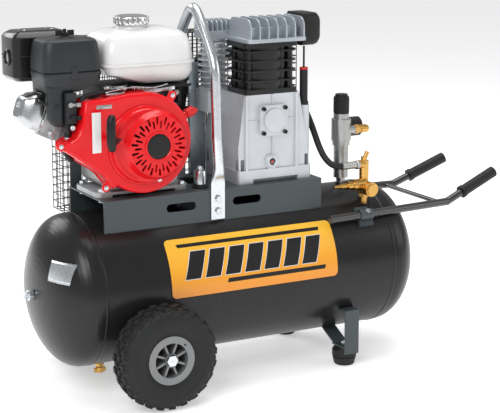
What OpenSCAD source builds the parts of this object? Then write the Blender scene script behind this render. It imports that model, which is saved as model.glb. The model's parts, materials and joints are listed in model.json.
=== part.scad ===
// Petrol-driven wheelbarrow air compressor: a receiver on two wheels and two rubber feet,
// with an engine, a belt drive and a two-stage piston pump on a channel-shaped deck.
// X runs along the receiver towards the handles, Z is up, and the front (recoil starter) faces -Y.

/* [Receiver] */
// Outside diameter of the air receiver
tank_d = 370; // [320:5:440]
// Length of the straight receiver shell, seam to seam
tank_len = 790; // [680:5:940]
// Depth of each dished end
head_depth = 112; // [80:1:150]
// Wall thickness of the receiver
tank_wall = 4; // [3:0.5:8]
// Height of the receiver's underside above the floor
tank_clear = 63; // [50:1:110]

/* [Wheels and feet] */
// Outside diameter of each tyre
wheel_d = 250; // [220:5:300]
// Width of each tyre
wheel_w = 80; // [60:1:95]
// Gap between a tyre and the side of the receiver
wheel_gap = 9; // [6:1:30]
// Distance of the wheel axis from the middle of the receiver
wheel_back = 274; // [220:1:330]
// Diameter of the rim's outer flange
rim_d = 117; // [100:1:130]
// Diameter of the stub axles
axle_d = 20; // [14:1:25]
// Distance of the feet from the middle of the receiver
foot_fore = 269; // [200:1:340]
// Height of each rubber foot
foot_h = 47; // [36:1:60]
// Diameter of each rubber foot
foot_d = 62; // [50:1:70]

/* [Deck] */
// Length of the deck plate
deck_len = 589; // [560:1:640]
// Width of the deck over its side flanges
deck_w = 209; // [205:1:230]
// Sheet thickness of the deck
deck_t = 4; // [3:0.5:6]
// Height of the deck's top above the top of the receiver
deck_rise = 44; // [34:1:60]
// Length of each lifting slot in the side flanges
slot_len = 78; // [50:1:95]
// Height of each lifting slot
slot_h = 20; // [12:1:26]

/* [Handles and lifting hoop] */
// Diameter of the handle tubes
handle_d = 20; // [18:1:28]
// Diameter of the rubber grips
grip_d = 29; // [25:1:36]
// Length of each grip
grip_len = 108; // [90:1:125]
// Diameter of the lifting hoop's tube
hoop_d = 25; // [20:1:30]
// Height of the hoop's top above the deck
hoop_h = 443; // [430:1:520]

/* [Drive] */
// Pitch radius of the engine's pulley
pulley_r = 46; // [36:1:60]
// Outside radius of the pump's flywheel
flywheel_r = 148; // [110:1:155]
// Width of the flywheel
flywheel_w = 40; // [30:1:48]
// Diameter of the engine's shaft
engine_shaft_d = 30; // [22:1:34]
// Diameter of the pump's shaft
pump_shaft_d = 34; // [26:1:40]

/* [Pump] */
// Bore of the low pressure cylinder
first_bore = 80; // [60:1:90]
// Bore of the high pressure cylinder
second_bore = 48; // [36:1:52]
// Height of both cylinders
cyl_h = 126; // [112:1:150]
// Stroke of the pistons
stroke = 56; // [40:1:60]
// Clearance between each piston and its bore
piston_play = 0.05; // [0.02:0.01:0.1]

/* [Hidden] */
$fn = 64;
eps = 1;             // how far a cutting solid runs past the face it cuts
fit = 0.3;           // running gap between neighbours on different bodies
running = 0.05;      // radial clearance of a shaft in its bore

// Receiver
tank_r = tank_d / 2;
tank_z = tank_clear + tank_r;
tank_top = tank_z + tank_r;
seam = tank_len / 2;
skirt = 14;          // straight part of a dished end

// Wheels
wheel_r = wheel_d / 2;
wheel_x = -wheel_back;
wheel_y = tank_r + wheel_gap + wheel_w / 2;
rim_r = rim_d / 2;
rim_in_r = rim_r - 17;
barrel_r = rim_in_r + 5;
rim_half = wheel_w / 2 - 4;
flange_t = 5;
axle_r = axle_d / 2;
hub_r = axle_r + 6;

// Deck
deck_x0 = -365;
deck_x1 = deck_x0 + deck_len;
deck_half = deck_w / 2;
deck_z = tank_top + deck_rise;
slot_z = deck_z - 33;
slot_xs = [-165, 13];
post_t = 4;

// Drive line, all planes parallel to XZ
guard_y0 = deck_half + 31;
guard_y1 = guard_y0 + 74;
guard_x0 = -367;
guard_x1 = 292;
guard_z0 = tank_top - 30;
guard_z1 = deck_z + 368;
belt_y = guard_y0 + 36;
belt_w = 14;
belt_t = 9;

// Engine
ex = -243;
ez = deck_z + 128;
shaft_r = engine_shaft_d / 2;
block_x0 = ex - 92;
block_x1 = ex + 98;
block_y0 = -45;
block_y1 = 95;
foot_t = 12;
slant = 18;          // angle of the engine's cylinder above the horizontal
shroud_y0 = -112;
shroud_y1 = -52;
shroud_r = 119;
shroud_x = ex - 16;  // the volute is wider on the side where the air leaves
shroud_z = ez + 3;
starter_r = 94;
starter_x = ex - 18;
starter_y = -148;
grille_r = 75;
pull_angle = 35;     // the starter rope leaves this far out from the -X direction, towards -Y
grip_x = ex - 120;
grip_y = -152;
grip_z = ez + 41;
stem_drop = 20;      // the stem of the grip sits this far below its middle

// Pump
px = 97;
pz = deck_z + 153;
pshaft_r = pump_shaft_d / 2;
case_y0 = -80;
case_y1 = 98;
case_top = deck_z + 217;
first_x = px;
first_y = -26;
second_x = 15;
second_y = 72;
second_fin_r = 40;
cyl_top = case_top + cyl_h;
oil_x = 197;
oil_y = -60;
oil_r = 14;
oil_top = deck_z + 181;
breather_top = oil_top + 90;
filter_z0 = cyl_top - 17;

// Air outlet
reg_x = 345;
valve_x = 352;
valve_y = -100;
valve_z = surface_z(valve_y) + 24;
hose_r = 8;

// Handles
tube_r = handle_d / 2;
clamp_x = 326;
clamp_w = 38;
tube_y = 150;
tube_z = tank_z + 133.5;
tube_rear_x = 216;
bend_x = 592;
grip_end_x = 748;
toe_in = 0.088;      // sideways run of each handle tube per mm of length
bend_rise = 62;
clamp_turn = 90 - atan2(tube_z - tank_z, tube_y);
clamp_drop = norm([tube_y, tube_z - tank_z]) - tank_r + 5;

function surface_z(y) = tank_z + sqrt(tank_r * tank_r - y * y);
function tube_at(x) = tube_y + (clamp_x - x) * toe_in;

// ---- building blocks ----

module box(x0, x1, y0, y1, z0, z1) translate([x0, y0, z0]) cube([x1 - x0, y1 - y0, z1 - z0]);
module x_rod(r, x0, x1) translate([x0, 0, 0]) rotate([0, 90, 0]) cylinder(r = r, h = x1 - x0);
module y_rod(r, y0, y1) translate([0, y1, 0]) rotate([90, 0, 0]) cylinder(r = r, h = y1 - y0);
module z_rod(r, z0, z1) translate([0, 0, z0]) cylinder(r = r, h = z1 - z0);
module x_cone(r0, r1, x0, x1) translate([x0, 0, 0]) rotate([0, 90, 0]) cylinder(r1 = r0, r2 = r1, h = x1 - x0);
module y_turned() rotate([90, 0, 0]) rotate_extrude() children();
module both_sides() {
    children();
    mirror([0, 1, 0]) children();
}
module rounded_square(w, h, r) {
    translate([-w / 2 + r, -h / 2]) square([w - 2 * r, h]);
    translate([-w / 2, -h / 2 + r]) square([w, h - 2 * r]);
    for (sx = [-1, 1], sy = [-1, 1]) translate([sx * (w / 2 - r), sy * (h / 2 - r)]) circle(r);
}
// A plate lying flat, centred on x and y, with rounded corners
module pad(x, y, w, d, r, z0, z1) translate([x, y, z0]) linear_extrude(z1 - z0) rounded_square(w, d, r);
// A plate standing in the XZ plane
module front_pad(x, z, w, h, r, y0, y1)
    translate([x, y1, z]) rotate([90, 0, 0]) linear_extrude(y1 - y0) rounded_square(w, h, r);
module tank_solid() translate([0, 0, tank_z]) x_rod(tank_r, -seam - eps, seam + eps, $fn = 360);
// Everything is drawn round the middle of the receiver, then moved so that the origin lies
// on the floor under the middle of the bounding box: from the left end plug to the grips.
module placed() {
    reach = norm([grip_dir[1], grip_dir[2]]) * grip_d / 2;
    translate([(seam + head_depth + plug_len - grip_end[0] - reach) / 2, 0, 0]) children();
}
module hex_bolt(r, head_h) {
    cylinder(r = r, h = head_h, $fn = 6);
}
// ---- receiver ----

port_r = 6;
plug_r = 9;          // thread of the end plugs
plug_len = 24;       // how far they stand out
module tank_shell() color("dimgray") placed() difference() {
    translate([0, 0, tank_z]) x_rod(tank_r, -seam, seam);
    translate([0, 0, tank_z]) x_rod(tank_r - tank_wall, -seam - eps, seam + eps);
    translate([reg_x, 0, 0]) z_rod(port_r, tank_z, tank_top + eps);
    translate([valve_x, valve_y, 0]) z_rod(port_r, tank_z, tank_top);
    translate([-seam + 55, 0, 0]) z_rod(port_r, tank_clear - eps, tank_z);
}
// One dished end: a short skirt, then half an ellipse, turned about the receiver's axis
module dished_end() {
    dome = head_depth - skirt;
    steps = 18;
    outer = [for (i = [0:steps]) let (t = 90 * i / steps) [tank_r * cos(t), skirt + dome * sin(t)]];
    inner = [for (i = [steps:-1:0]) let (t = 90 * i / steps)
        [(tank_r - tank_wall) * cos(t), skirt + (dome - tank_wall) * sin(t)]];
    rotate([0, 90, 0]) rotate_extrude($fn = 128)
        polygon(concat([[tank_r - 1.8, 0], [tank_r - 1.8, 1.5], [tank_r, 3.5]], outer,
            inner, [[tank_r - tank_wall, 0]]));
}
module tank_heads() color("dimgray") placed() difference() {
    for (s = [0, 1]) mirror([s, 0, 0]) translate([seam, 0, tank_z]) dished_end();
    translate([0, 0, tank_z]) x_rod(plug_r + 0.1, -seam - head_depth - eps, seam + head_depth + eps);
}

drain_x = -seam + 55;
module drain_valve() color("darkgoldenrod") placed() difference() {
    translate([drain_x, 0, 0]) {
        z_rod(9, tank_clear - 14, tank_clear + 4);
        translate([0, 0, tank_clear - 17]) hex_bolt(11.5, 7);
    }
    tank_solid();
    translate([drain_x, 0, 0]) z_rod(4, tank_clear - 18, tank_clear - 6);
}
module drain_knob() color("goldenrod") placed() translate([drain_x, 0, 0]) difference() {
    union() {
        z_rod(4 - running, tank_clear - 30, tank_clear - 9);
        z_rod(9, tank_clear - 33, tank_clear - 20);
        box(-15, 15, -2.5, 2.5, tank_clear - 32, tank_clear - 22);
    }
    z_rod(2, tank_clear - 34, tank_clear - 16);
}

// ---- chassis ----

engine_bolts = [for (x = [ex - 103, ex + 103], y = [-52, 62]) [x, y]];
pump_bolts = [for (x = [14, 194], y = [-70, 84]) [x, y]];
bolt_r = 5;
module slot_cut(x, y0, y1) {
    front_pad(x, slot_z, slot_len, slot_h, slot_h / 2 - 0.01, y0, y1);
}
module base_plate() color("slategray") placed() difference() {
    union() {
        box(deck_x0, deck_x1, -deck_half, deck_half, deck_z - deck_t, deck_z);
        both_sides() box(deck_x0, deck_x1, -deck_half, -deck_half + deck_t, tank_z + 100, deck_z);
        // two posts at the rear edge carry the belt guard
        box(deck_x0 + 2, deck_x0 + 32, deck_half - post_t, deck_half, deck_z - eps, deck_z + 150);
        box(-38, 4, deck_half - post_t, deck_half, deck_z - eps, deck_z + 206);
        // and each holds it with two short arms
        for (z = [deck_z + 60, deck_z + 135]) {
            box(deck_x0 + 2, deck_x0 + 22, deck_half - post_t, guard_y0 - 0.02, z, z + 4);
            box(-30, -10, deck_half - post_t, guard_y0 - 0.02, z + 60, z + 64);
        }
    }
    tank_solid();
    both_sides() for (x = slot_xs) slot_cut(x, -deck_half - eps, -deck_half + deck_t + eps);
    for (p = concat(engine_bolts, pump_bolts))
        translate([p[0], p[1], 0]) z_rod(bolt_r + 0.5, deck_z - deck_t - eps, deck_z + eps);
    // belt tensioning window between the engine and the pump
    pad(-72, 20, 56, 96, 27, deck_z - deck_t - eps, deck_z + eps);
    both_sides() for (z = hoop_bolts) translate([hoop_x, 0, z])
        y_rod(bolt_r + 0.3, -deck_half - eps, -deck_half + deck_t + eps);
}

// A stand in sheet strip: an upright in front of the foot, a shelf over it and a brace to the receiver
stand_w = 40;
stand_y = 184;
foot_y = 150;
strip = 4;
module stand() {
    top_z = tank_z - 100;
    translate([foot_fore, 0, 0]) {
        box(-stand_w / 2, stand_w / 2, -stand_y - strip / 2, -stand_y + strip / 2, foot_h - 13, top_z);
        box(-stand_w / 2, stand_w / 2, -stand_y - strip / 2, -stand_y + 46, top_z - strip, top_z);
        box(-stand_w / 2, stand_w / 2, -stand_y, -foot_y + 26, foot_h, foot_h + strip);
        translate([0, -foot_y + 20, foot_h + 1]) rotate([25, 0, 0]) box(-stand_w / 2 + 1, stand_w / 2 - 1, 0, 100, 0, strip);
    }
}
module stands() color("slategray") placed() difference() {
    both_sides() stand();
    tank_solid();
    both_sides() translate([foot_fore, -foot_y, 0]) z_rod(bolt_r + 0.5, foot_h - eps, foot_h + strip + eps);
}
module rubber_foot() difference() {
    rotate_extrude()
        polygon([[0, 0], [foot_d / 2 - 8, 0], [foot_d / 2 - 5, 3], [foot_d / 2 - 1, foot_h * 0.42],
            [foot_d / 2 - 3, foot_h * 0.44], [foot_d / 2 - 3, foot_h * 0.47], [foot_d / 2, foot_h * 0.5],
            [foot_d / 2, foot_h - 9], [foot_d / 2 - 4, foot_h - 3], [foot_d / 2 - 9, foot_h], [0, foot_h]]);
    z_rod(bolt_r, foot_h - 20, foot_h + eps);
}
module rubber_feet() color("darkslategray") placed() both_sides() translate([foot_fore, -foot_y, 0]) rubber_foot();

// Each wheel turns on its own stub axle, welded into a short box on the side of the receiver
bracket_y = tank_r + 1;
bracket_w = 64;
bracket_h = 56;
module axle_brackets() color("slategray") placed() difference() {
    both_sides() translate([wheel_x, 0, wheel_r]) {
        difference() {
            box(-bracket_w / 2, bracket_w / 2, -bracket_y, -tank_r * 0.55, -bracket_h / 2, bracket_h / 2);
            box(-bracket_w / 2 + 5, bracket_w / 2 - 5, -bracket_y + 5, 0, -bracket_h / 2 + 5, bracket_h / 2 - 5);
        }
        y_rod(axle_r, -wheel_y - rim_half, -bracket_y + 4);
        y_rod(axle_r + 5, -wheel_y + wheel_w / 2 - 1, -bracket_y + 4);
    }
    tank_solid();
}

// ---- wheels, built round the origin with the axis along Y ----

module rim() difference() {
    union() {
        y_turned() difference() {
            union() {
                translate([rim_in_r, -rim_half]) square([barrel_r - rim_in_r, 2 * rim_half]);
                for (s = [-1, 1]) translate([rim_in_r, s > 0 ? rim_half - flange_t : -rim_half])
                    square([rim_r - rim_in_r, flange_t]);
            }
        }
        y_rod(hub_r, -rim_half + 1, rim_half - 1);
        for (a = [0:45:315]) rotate([0, a + 22.5, 0])
            box(hub_r - 1, rim_in_r + 1, -rim_half + 6, rim_half - 6, -2.5, 2.5);
    }
    y_rod(axle_r + running, -rim_half - eps, rim_half + eps);
}
// The tyre's section: half of it as points, the other half mirrored
function both_halves(side) = concat(side, [for (i = [len(side) - 1:-1:0]) [side[i][0], -side[i][1]]]);
module tyre() y_turned() {
    w = wheel_w / 2;
    seat = rim_half - flange_t - 0.1;
    wall = 9;
    difference() {
        polygon(both_halves([[barrel_r + 0.1, seat], [rim_r + 0.6, seat],
            [rim_r + 0.8, w - 6], [rim_r + 6, w - 2], [rim_r + 16, w], [wheel_r - 24, w],
            [wheel_r - 14, w - 3], [wheel_r - 6, w - 9], [wheel_r - 2, w - 18], [wheel_r, w - 28]]));
        polygon(both_halves([[barrel_r + wall, seat - wall], [rim_r + 12, w - wall], [wheel_r - 24, w - wall],
            [wheel_r - 15, w - wall - 6], [wheel_r - 12, w - 26]]));
    }
}
module at_front_wheel() translate([wheel_x, -wheel_y, wheel_r]) children();
module tyre_front() color("darkslategray") placed() at_front_wheel() tyre();
module rim_front() color("gray") placed() at_front_wheel() rim();
module tyre_rear() mirror([0, 1, 0]) tyre_front();
module rim_rear() mirror([0, 1, 0]) rim_front();

// ---- handles ----

module rod_between(p, q, r) {
    v = q - p;
    translate(p) rotate([0, acos(v[2] / norm(v)), atan2(v[1], v[0])]) cylinder(r = r, h = norm(v));
}
function side_point(x, z) = [x, -tube_at(x), z];
bend_p = side_point(bend_x, tube_z);
grip_end = side_point(grip_end_x, tube_z + bend_rise);
grip_dir = (grip_end - bend_p) / norm(grip_end - bend_p);
grip_start = grip_end - grip_dir * grip_len;
weld_swell = 0.4;    // a ball where two tubes meet stands this far proud of them
module handle_frame() color("dimgray") placed() {
    both_sides() {
        rod_between(side_point(tube_rear_x, tube_z), bend_p, tube_r);
        translate(bend_p) sphere(tube_r + weld_swell);
        rod_between(bend_p, grip_end - grip_dir * 4, tube_r);
    }
    bar = side_point(bend_x - 24, tube_z);
    y_bar = bar[1] + tube_r - 1;
    translate([bar[0], 0, tube_z]) y_rod(6, y_bar, -y_bar);
}
module handle_grips() color("darkslategray") placed() both_sides() difference() {
    union() {
        rod_between(grip_start, grip_end, grip_d / 2);
        rod_between(grip_start - grip_dir * 9, grip_start, grip_d / 2 + 2);
    }
    rod_between(bend_p, grip_end - grip_dir * 4, tube_r);
}
// A saddle over the tube, turned so that its two feet meet the receiver square on
module clamp() translate([clamp_x, -tube_y, tube_z]) rotate([clamp_turn, 0, 0]) difference() {
    union() {
        x_rod(tube_r + 4, -clamp_w / 2, clamp_w / 2);
        box(-clamp_w / 2, clamp_w / 2, -26, 26, -clamp_drop, -tube_r + 3);
    }
    rotate([0, atan(toe_in) * sin(clamp_turn), atan(toe_in) * cos(clamp_turn)])
        x_rod(tube_r + 0.1, -clamp_w, clamp_w);
    z_rod(3, 0, tube_r + 9);
}
module handle_clamps() color("slategray") placed() difference() {
    both_sides() clamp();
    tank_solid();
}

// ---- lifting hoop ----

hoop_x = -68;
hoop_r = hoop_d / 2;
hoop_y = deck_half + 4 + hoop_r;
hoop_bolts = [deck_z - 22, deck_z - 52];
hoop_shoulder = deck_z + 303;
hoop_top = deck_z + hoop_h - hoop_r;
hoop_arc = 48;
module roll_bar() color("lightsteelblue") placed() difference() {
    union() {
        both_sides() {
            translate([hoop_x, -hoop_y, 0]) z_rod(hoop_r, deck_z + 40, hoop_shoulder);
            translate([hoop_x, -hoop_y, hoop_shoulder]) sphere(hoop_r + weld_swell);
            rod_between([hoop_x, -hoop_y, hoop_shoulder], [hoop_x, -hoop_arc, hoop_top - hoop_arc * 0.75], hoop_r);
            // flattened foot, blended into the round tube
            box(hoop_x - 19, hoop_x + 19, -deck_half - 5, -deck_half - 0.02, deck_z - 72, deck_z + 22);
            hull() {
                translate([hoop_x, -hoop_y, deck_z + 44]) cylinder(r = hoop_r - 0.5, h = 2, $fn = 32);
                box(hoop_x - 19, hoop_x + 19, -deck_half - 5, -deck_half - 0.02, deck_z + 18, deck_z + 20);
            }
        }
        hoop_crown();
    }
    both_sides() for (z = hoop_bolts) translate([hoop_x, 0, z]) y_rod(bolt_r + 0.3, -deck_half - 6, -deck_half + eps);
}
// The crown is an arc through both shoulders' upper ends and the top of the hoop
module hoop_crown() {
    half = hoop_arc;
    drop = hoop_arc * 0.75;
    r = (half * half + drop * drop) / (2 * drop);
    a = asin(min(1, half / r));
    translate([hoop_x, 0, hoop_top - r]) rotate([0, -90, 0]) rotate([0, 0, -a])
        rotate_extrude(angle = 2 * a) translate([r, 0]) circle(hoop_r);
    both_sides() translate([hoop_x, -half, hoop_top - drop]) sphere(hoop_r + weld_swell);
}

// ---- belt guard: welded wire cage, open to the shafts at the front ----

wire = 3;
mesh_x = 25;
mesh_z = 50;
module wire_panel(y) {
    w = guard_x1 - guard_x0;
    h = guard_z1 - guard_z0;
    translate([guard_x0, y + wire, guard_z0]) rotate([90, 0, 0]) linear_extrude(wire) difference() {
        square([w, h]);
        for (i = [0:floor((w - 6) / mesh_x) - 1], k = [0:floor((h - 6) / mesh_z) - 1])
            translate([6 + i * mesh_x, 6 + k * mesh_z])
                square([min(mesh_x - wire, w - 12 - i * mesh_x), min(mesh_z - wire, h - 12 - k * mesh_z)]);
    }
}
module guard_front() color("black") placed() difference() {
    wire_panel(guard_y0);
    translate([ex, 0, ez]) y_rod(shaft_r + 30, guard_y0 - eps, guard_y0 + wire + eps);
    translate([px, 0, pz]) y_rod(pshaft_r + 30, guard_y0 - eps, guard_y0 + wire + eps);
}
module guard_rear() color("black") placed() wire_panel(guard_y1 - wire);
// Rungs that join the two panels all round, strung on one wire
module guard_edges() color("black") placed() {
    gap = 0.02;
    middle = (guard_y0 + guard_y1 - wire) / 2;
    y0 = guard_y0 + wire + gap;
    y1 = guard_y1 - wire - gap;
    for (z = [guard_z0, guard_z1 - wire]) {
        for (x = [guard_x0 : mesh_x : guard_x1 - wire]) box(x, x + wire, y0, y1, z, z + wire);
        box(guard_x0, guard_x1, middle, middle + wire, z, z + wire);
    }
    for (x = [guard_x0, guard_x1 - wire]) {
        for (z = [guard_z0 + mesh_z : mesh_z : guard_z1 - mesh_z / 2]) box(x, x + wire, y0, y1, z, z + wire);
        box(x, x + wire, middle, middle + wire, guard_z0, guard_z1);
    }
}

// ---- engine ----

module block_solid() {
    front_pad((block_x0 + block_x1) / 2, (deck_z + foot_t + ez + 80) / 2,
        block_x1 - block_x0, ez + 80 - deck_z - foot_t, 24, block_y0, block_y1);
}
module engine_block() color("silver") placed() difference() {
    union() {
        block_solid();
        pad(ex, 5, 240, 136, 14, deck_z, deck_z + foot_t);
        box(block_x0 + 24, block_x1 - 24, block_y0, block_y1, deck_z + foot_t - 1, deck_z + foot_t + 30);
        translate([ex, 0, ez]) y_rod(42, block_y1 - eps, block_y1 + 9);
        translate([ex, 0, ez]) y_rod(50, block_y0 - 16, block_y0 + eps);
        // four posts carry the cooling shroud, and a bracket the throttle
        for (p = [[72, 60], [72, -60], [-80, 68], [-80, -60]])
            translate([ex + p[0], 0, ez + p[1]]) y_rod(5, shroud_y0 + 3.02, block_y0 + eps);
        box(throttle_x - 12, throttle_x + 12, throttle_y - 10, throttle_y + 14, ez + 79, throttle_z);
    }
    translate([ex, 0, ez]) y_rod(shaft_r + running, block_y0 - 18, block_y1 + 12);
    translate([throttle_x, throttle_y, 0]) z_rod(3 + running, throttle_z - 14, throttle_z + eps);
    for (p = engine_bolts) translate([p[0], p[1], 0]) z_rod(bolt_r + 0.4, deck_z - eps, deck_z + foot_t + eps);
    box(ex - 82, ex + 82, -80, 90, deck_z - eps, deck_z + 5);
}
module on_slant() translate([ex, 0, ez]) rotate([0, slant, 0]) children();
cyl_start = 98;
cyl_end = 246;
module engine_cylinder() color("gray") placed() difference() {
    on_slant() {
        box(-cyl_end, -cyl_start, -42, 46, -40, 40);
        for (i = [0:8]) box(-cyl_start - 12 - i * 14, -cyl_start - 8 - i * 14, -50, 54, -52, 52);
    }
    block_solid();
}
module valve_cover() color("silver") placed() on_slant() {
    translate([-cyl_end - 32, 4, 0]) rotate([0, 90, 0]) linear_extrude(32) rounded_square(90, 86, 22);
    translate([-cyl_end - 43, 4, 0]) rotate([0, 90, 0]) linear_extrude(12) rounded_square(62, 60, 20);
}

// Side view outline of the cooling shroud: a volute round the crank and a wedge over the cylinder
module shroud_outline(wall = 0) {
    translate([shroud_x, shroud_z]) circle(shroud_r - wall, $fn = 96);
    polygon([[shroud_x + 10, shroud_z + shroud_r - wall], [ex - 100, ez + 115 - wall], [ex - 167 + wall, ez + 110 - wall],
        [ex - 171 + wall, ez + 60], [ex - 185 + wall, ez + 22 - wall], [ex - 217 + 3 * wall, ez + 13 - wall],
        [ex - 217 + 2 * wall, ez - 3 + wall], [ex - 122 + wall, ez - 66 + wall],
        [ex - 97 + wall, ez - 100 + 2 * wall], [ex, ez]]);
}
module shroud_body(y0, y1, wall = 0)
    translate([0, y1, 0]) rotate([90, 0, 0]) linear_extrude(y1 - y0) shroud_outline(wall);
shroud_wall = 3;
switch_angle = 25;
module at_switch() translate([shroud_x, -84, shroud_z]) rotate([0, 90 - switch_angle, 0]) children();
module fan_shroud() color("red") placed() difference() {
    union() {
        shroud_body(shroud_y0, shroud_y1);
        at_switch() z_rod(9, shroud_r - 6, shroud_r + 12);
    }
    shroud_body(shroud_y0 + shroud_wall, shroud_y1 + eps, shroud_wall);
    translate([starter_x, 0, ez]) y_rod(starter_r - 8, shroud_y0 - eps, shroud_y1);
}
slots = 36;
module starter_housing() color("red") placed() difference() {
    union() {
        translate([starter_x, 0, ez]) {
            y_rod(starter_r, shroud_y0 - 5, shroud_y0 - 0.02);
            translate([0, shroud_y0 - 4, 0]) rotate([90, 0, 0]) cylinder(r1 = starter_r - 3, r2 = starter_r - 11, h = 14);
        }
        translate([ex, 0, ez]) {
            y_rod(grille_r, starter_y, shroud_y0 - 4);
            y_rod(34, starter_y - 3, starter_y + 1);
        }
    }
    translate([starter_x, 0, ez]) y_rod(starter_r - 14, shroud_y0 - 14, shroud_y0 + eps);
    translate([ex, 0, ez]) {
        y_rod(grille_r - 4, starter_y + 3, shroud_y0 + eps);
        // two staggered rings of air slots
        for (i = [0:slots - 1]) rotate([0, i * 360 / slots, 0])
            box(i % 2 == 0 ? 43 : 52, i % 2 == 0 ? 60 : 69, starter_y - eps, starter_y + 4, -1.9, 1.9);
    }
    translate([grip_x, grip_y, grip_z - stem_drop]) rotate([0, 0, pull_angle]) x_rod(3.5, -60, 60);
}
module starter_grip() color("black") placed() translate([grip_x, grip_y, grip_z]) rotate([0, 0, pull_angle]) {
    z_rod(11, -34, 34);
    translate([0, 0, 34]) sphere(11);
    translate([0, 0, -34]) sphere(11);
    translate([0, 0, -stem_drop]) difference() {
        x_cone(12, 7, 0, 24);
        x_rod(2.6, 4, 25);
    }
}
module fan_flywheel() color("dimgray") placed() translate([ex, 0, ez]) difference() {
    union() {
        y_rod(70, shroud_y0 + 4, shroud_y0 + 9);
        y_rod(26, shroud_y0 + 4, block_y0 - 17);
        for (a = [0:30:330]) rotate([0, a, 0]) box(24, 80, shroud_y0 + 4, shroud_y0 + 30, -1.5, 1.5);
        y_rod(60, shroud_y0 + 29, block_y0 - 17);
    }
    y_rod(shaft_r, shroud_y0 - eps, block_y0);
}
module engine_shaft() color("silver") placed() translate([ex, 0, ez]) y_rod(shaft_r, shroud_y0 + 2, belt_y + 24);
module grooved_rim(r, w, groove_y) difference() {
    y_rod(r, groove_y - w / 2, groove_y + w / 2);
    difference() {
        y_rod(r + eps, groove_y - belt_w / 2 - fit, groove_y + belt_w / 2 + fit);
        y_rod(r - belt_t - fit, groove_y - w, groove_y + w);
    }
}
module drive_pulley() color("dimgray") placed() translate([ex, 0, ez]) difference() {
    union() {
        grooved_rim(pulley_r, 26, belt_y);
        y_rod(shaft_r + 9, belt_y - 22, belt_y + 16);
    }
    y_rod(shaft_r, belt_y - 30, belt_y + 30);
}

// Intake, carburettor and its controls
airbox_x = -420;
airbox_y = -26;
airbox_w = 142;
airbox_d = 108;
airbox_z = ez + 176;
module air_filter_base() color("darkslategray") placed() difference() {
    union() {
        pad(airbox_x, airbox_y, airbox_w, airbox_d, 20, airbox_z - 46, airbox_z - 0.02);
        pad(-466, -66, 40, 24, 9, ez + 50, airbox_z - 45);
    }
    // cut away over the carburettor
    translate([-349, 0, airbox_z - 46]) rotate([0, 45, 0]) box(-44, 44, -90, 40, -44, 44);
}
module air_filter_cover() color("darkslategray") placed() difference() {
    union() {
        pad(airbox_x, airbox_y, airbox_w + 2, airbox_d + 2, 21, airbox_z, airbox_z + 64);
        pad(airbox_x, airbox_y, airbox_w - 14, airbox_d - 14, 18, airbox_z + 63, airbox_z + 76);
    }
    pad(airbox_x, airbox_y, airbox_w - 6, airbox_d - 6, 18, airbox_z - eps, airbox_z + 60);
    translate([airbox_x, airbox_y, 0]) z_rod(4 + running, airbox_z + 50, airbox_z + 80);
}
module wing_nut() color("dimgray") placed() translate([airbox_x, airbox_y, 0]) {
    z_rod(9, airbox_z + 76.3, airbox_z + 86);
    for (a = [0, 180]) rotate([0, 0, a]) box(7, 22, -2.5, 2.5, airbox_z + 79, airbox_z + 91);
    z_rod(4, airbox_z + 62, airbox_z + 94);
}
carb_y = -88;
choke_x = -438;
choke_z = ez + 104;
fuel_x = -432;
fuel_z = ez + 74;
module carburettor() color("gray") placed() difference() {
    union() {
        box(-445.98, -421, carb_y, -56, ez + 60, ez + 129.9);
        box(-445, -425, carb_y + 8, -56, ez + 46, ez + 61);
        translate([-437, carb_y + 18, 0]) z_rod(7, ez + 26, ez + 47);
        box(-440, -424, -57, -50.02, ez + 72, ez + 102);
    }
    translate([choke_x, 0, choke_z]) y_rod(3 + running, carb_y - eps, carb_y + 14);
    translate([fuel_x, 0, fuel_z]) y_rod(3 + running, carb_y - eps, carb_y + 14);
}
module front_lever(x, z, reach) translate([x, 0, z]) {
    y_rod(3, carb_y - 9, carb_y + 12);
    y_rod(6, carb_y - 9, carb_y - 5);
    box(0, reach, carb_y - 9, carb_y - 5.5, -3, 3);
    box(reach - 1, reach + 9, carb_y - 13, carb_y - 4, -4.5, 4.5);
}
module choke_lever() color("silver") placed() front_lever(choke_x, choke_z, 14);
module fuel_lever() color("black") placed() front_lever(fuel_x, fuel_z, 8);
throttle_x = ex - 68;
throttle_y = -30;
throttle_z = ez + 128;
module throttle_lever() color("dimgray") placed() translate([throttle_x, throttle_y, throttle_z]) {
    z_rod(3, -12, 3);
    z_rod(8, 0.4, 3);
    box(-3.5, 3.5, -46, 0, 0.6, 3);
    box(-6, 6, -56, -44, 0.6, 9);
}

// Fuel tank
ft_x0 = ex - 97;
ft_x1 = ex + 142;
ft_y0 = -76;
ft_y1 = 100;
ft_seam = ez + 181;
ft_top = ez + 262;
ft_wall = 3;
cap_x = ex + 6;
cap_y = 8;
module tank_pad(inset, r, x_off, w_off, d_off, z0, z1)
    pad((ft_x0 + ft_x1) / 2 + x_off, (ft_y0 + ft_y1) / 2, ft_x1 - ft_x0 - w_off - 2 * inset,
        ft_y1 - ft_y0 - d_off - 2 * inset, r, z0, z1, $fn = 32);
module upper_half(inset) hull() {
    tank_pad(inset, 32, 0, 10, 10, ft_seam + 2, ft_seam + 30);
    tank_pad(inset, 30, 0, 30, 30, ft_seam + 61 - inset, ft_seam + 65 - inset);
    tank_pad(inset, 26, 0, 90, 80, ft_seam + 75 - inset, ft_seam + 82 - inset);
}
module lower_half(inset) hull() {
    tank_pad(inset, 32, 0, 12, 12, ft_seam - 20, ft_seam - 2);
    tank_pad(inset, 26, 46, 120, 40, ft_seam - 50 + inset, ft_seam - 46 + inset);
}
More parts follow.
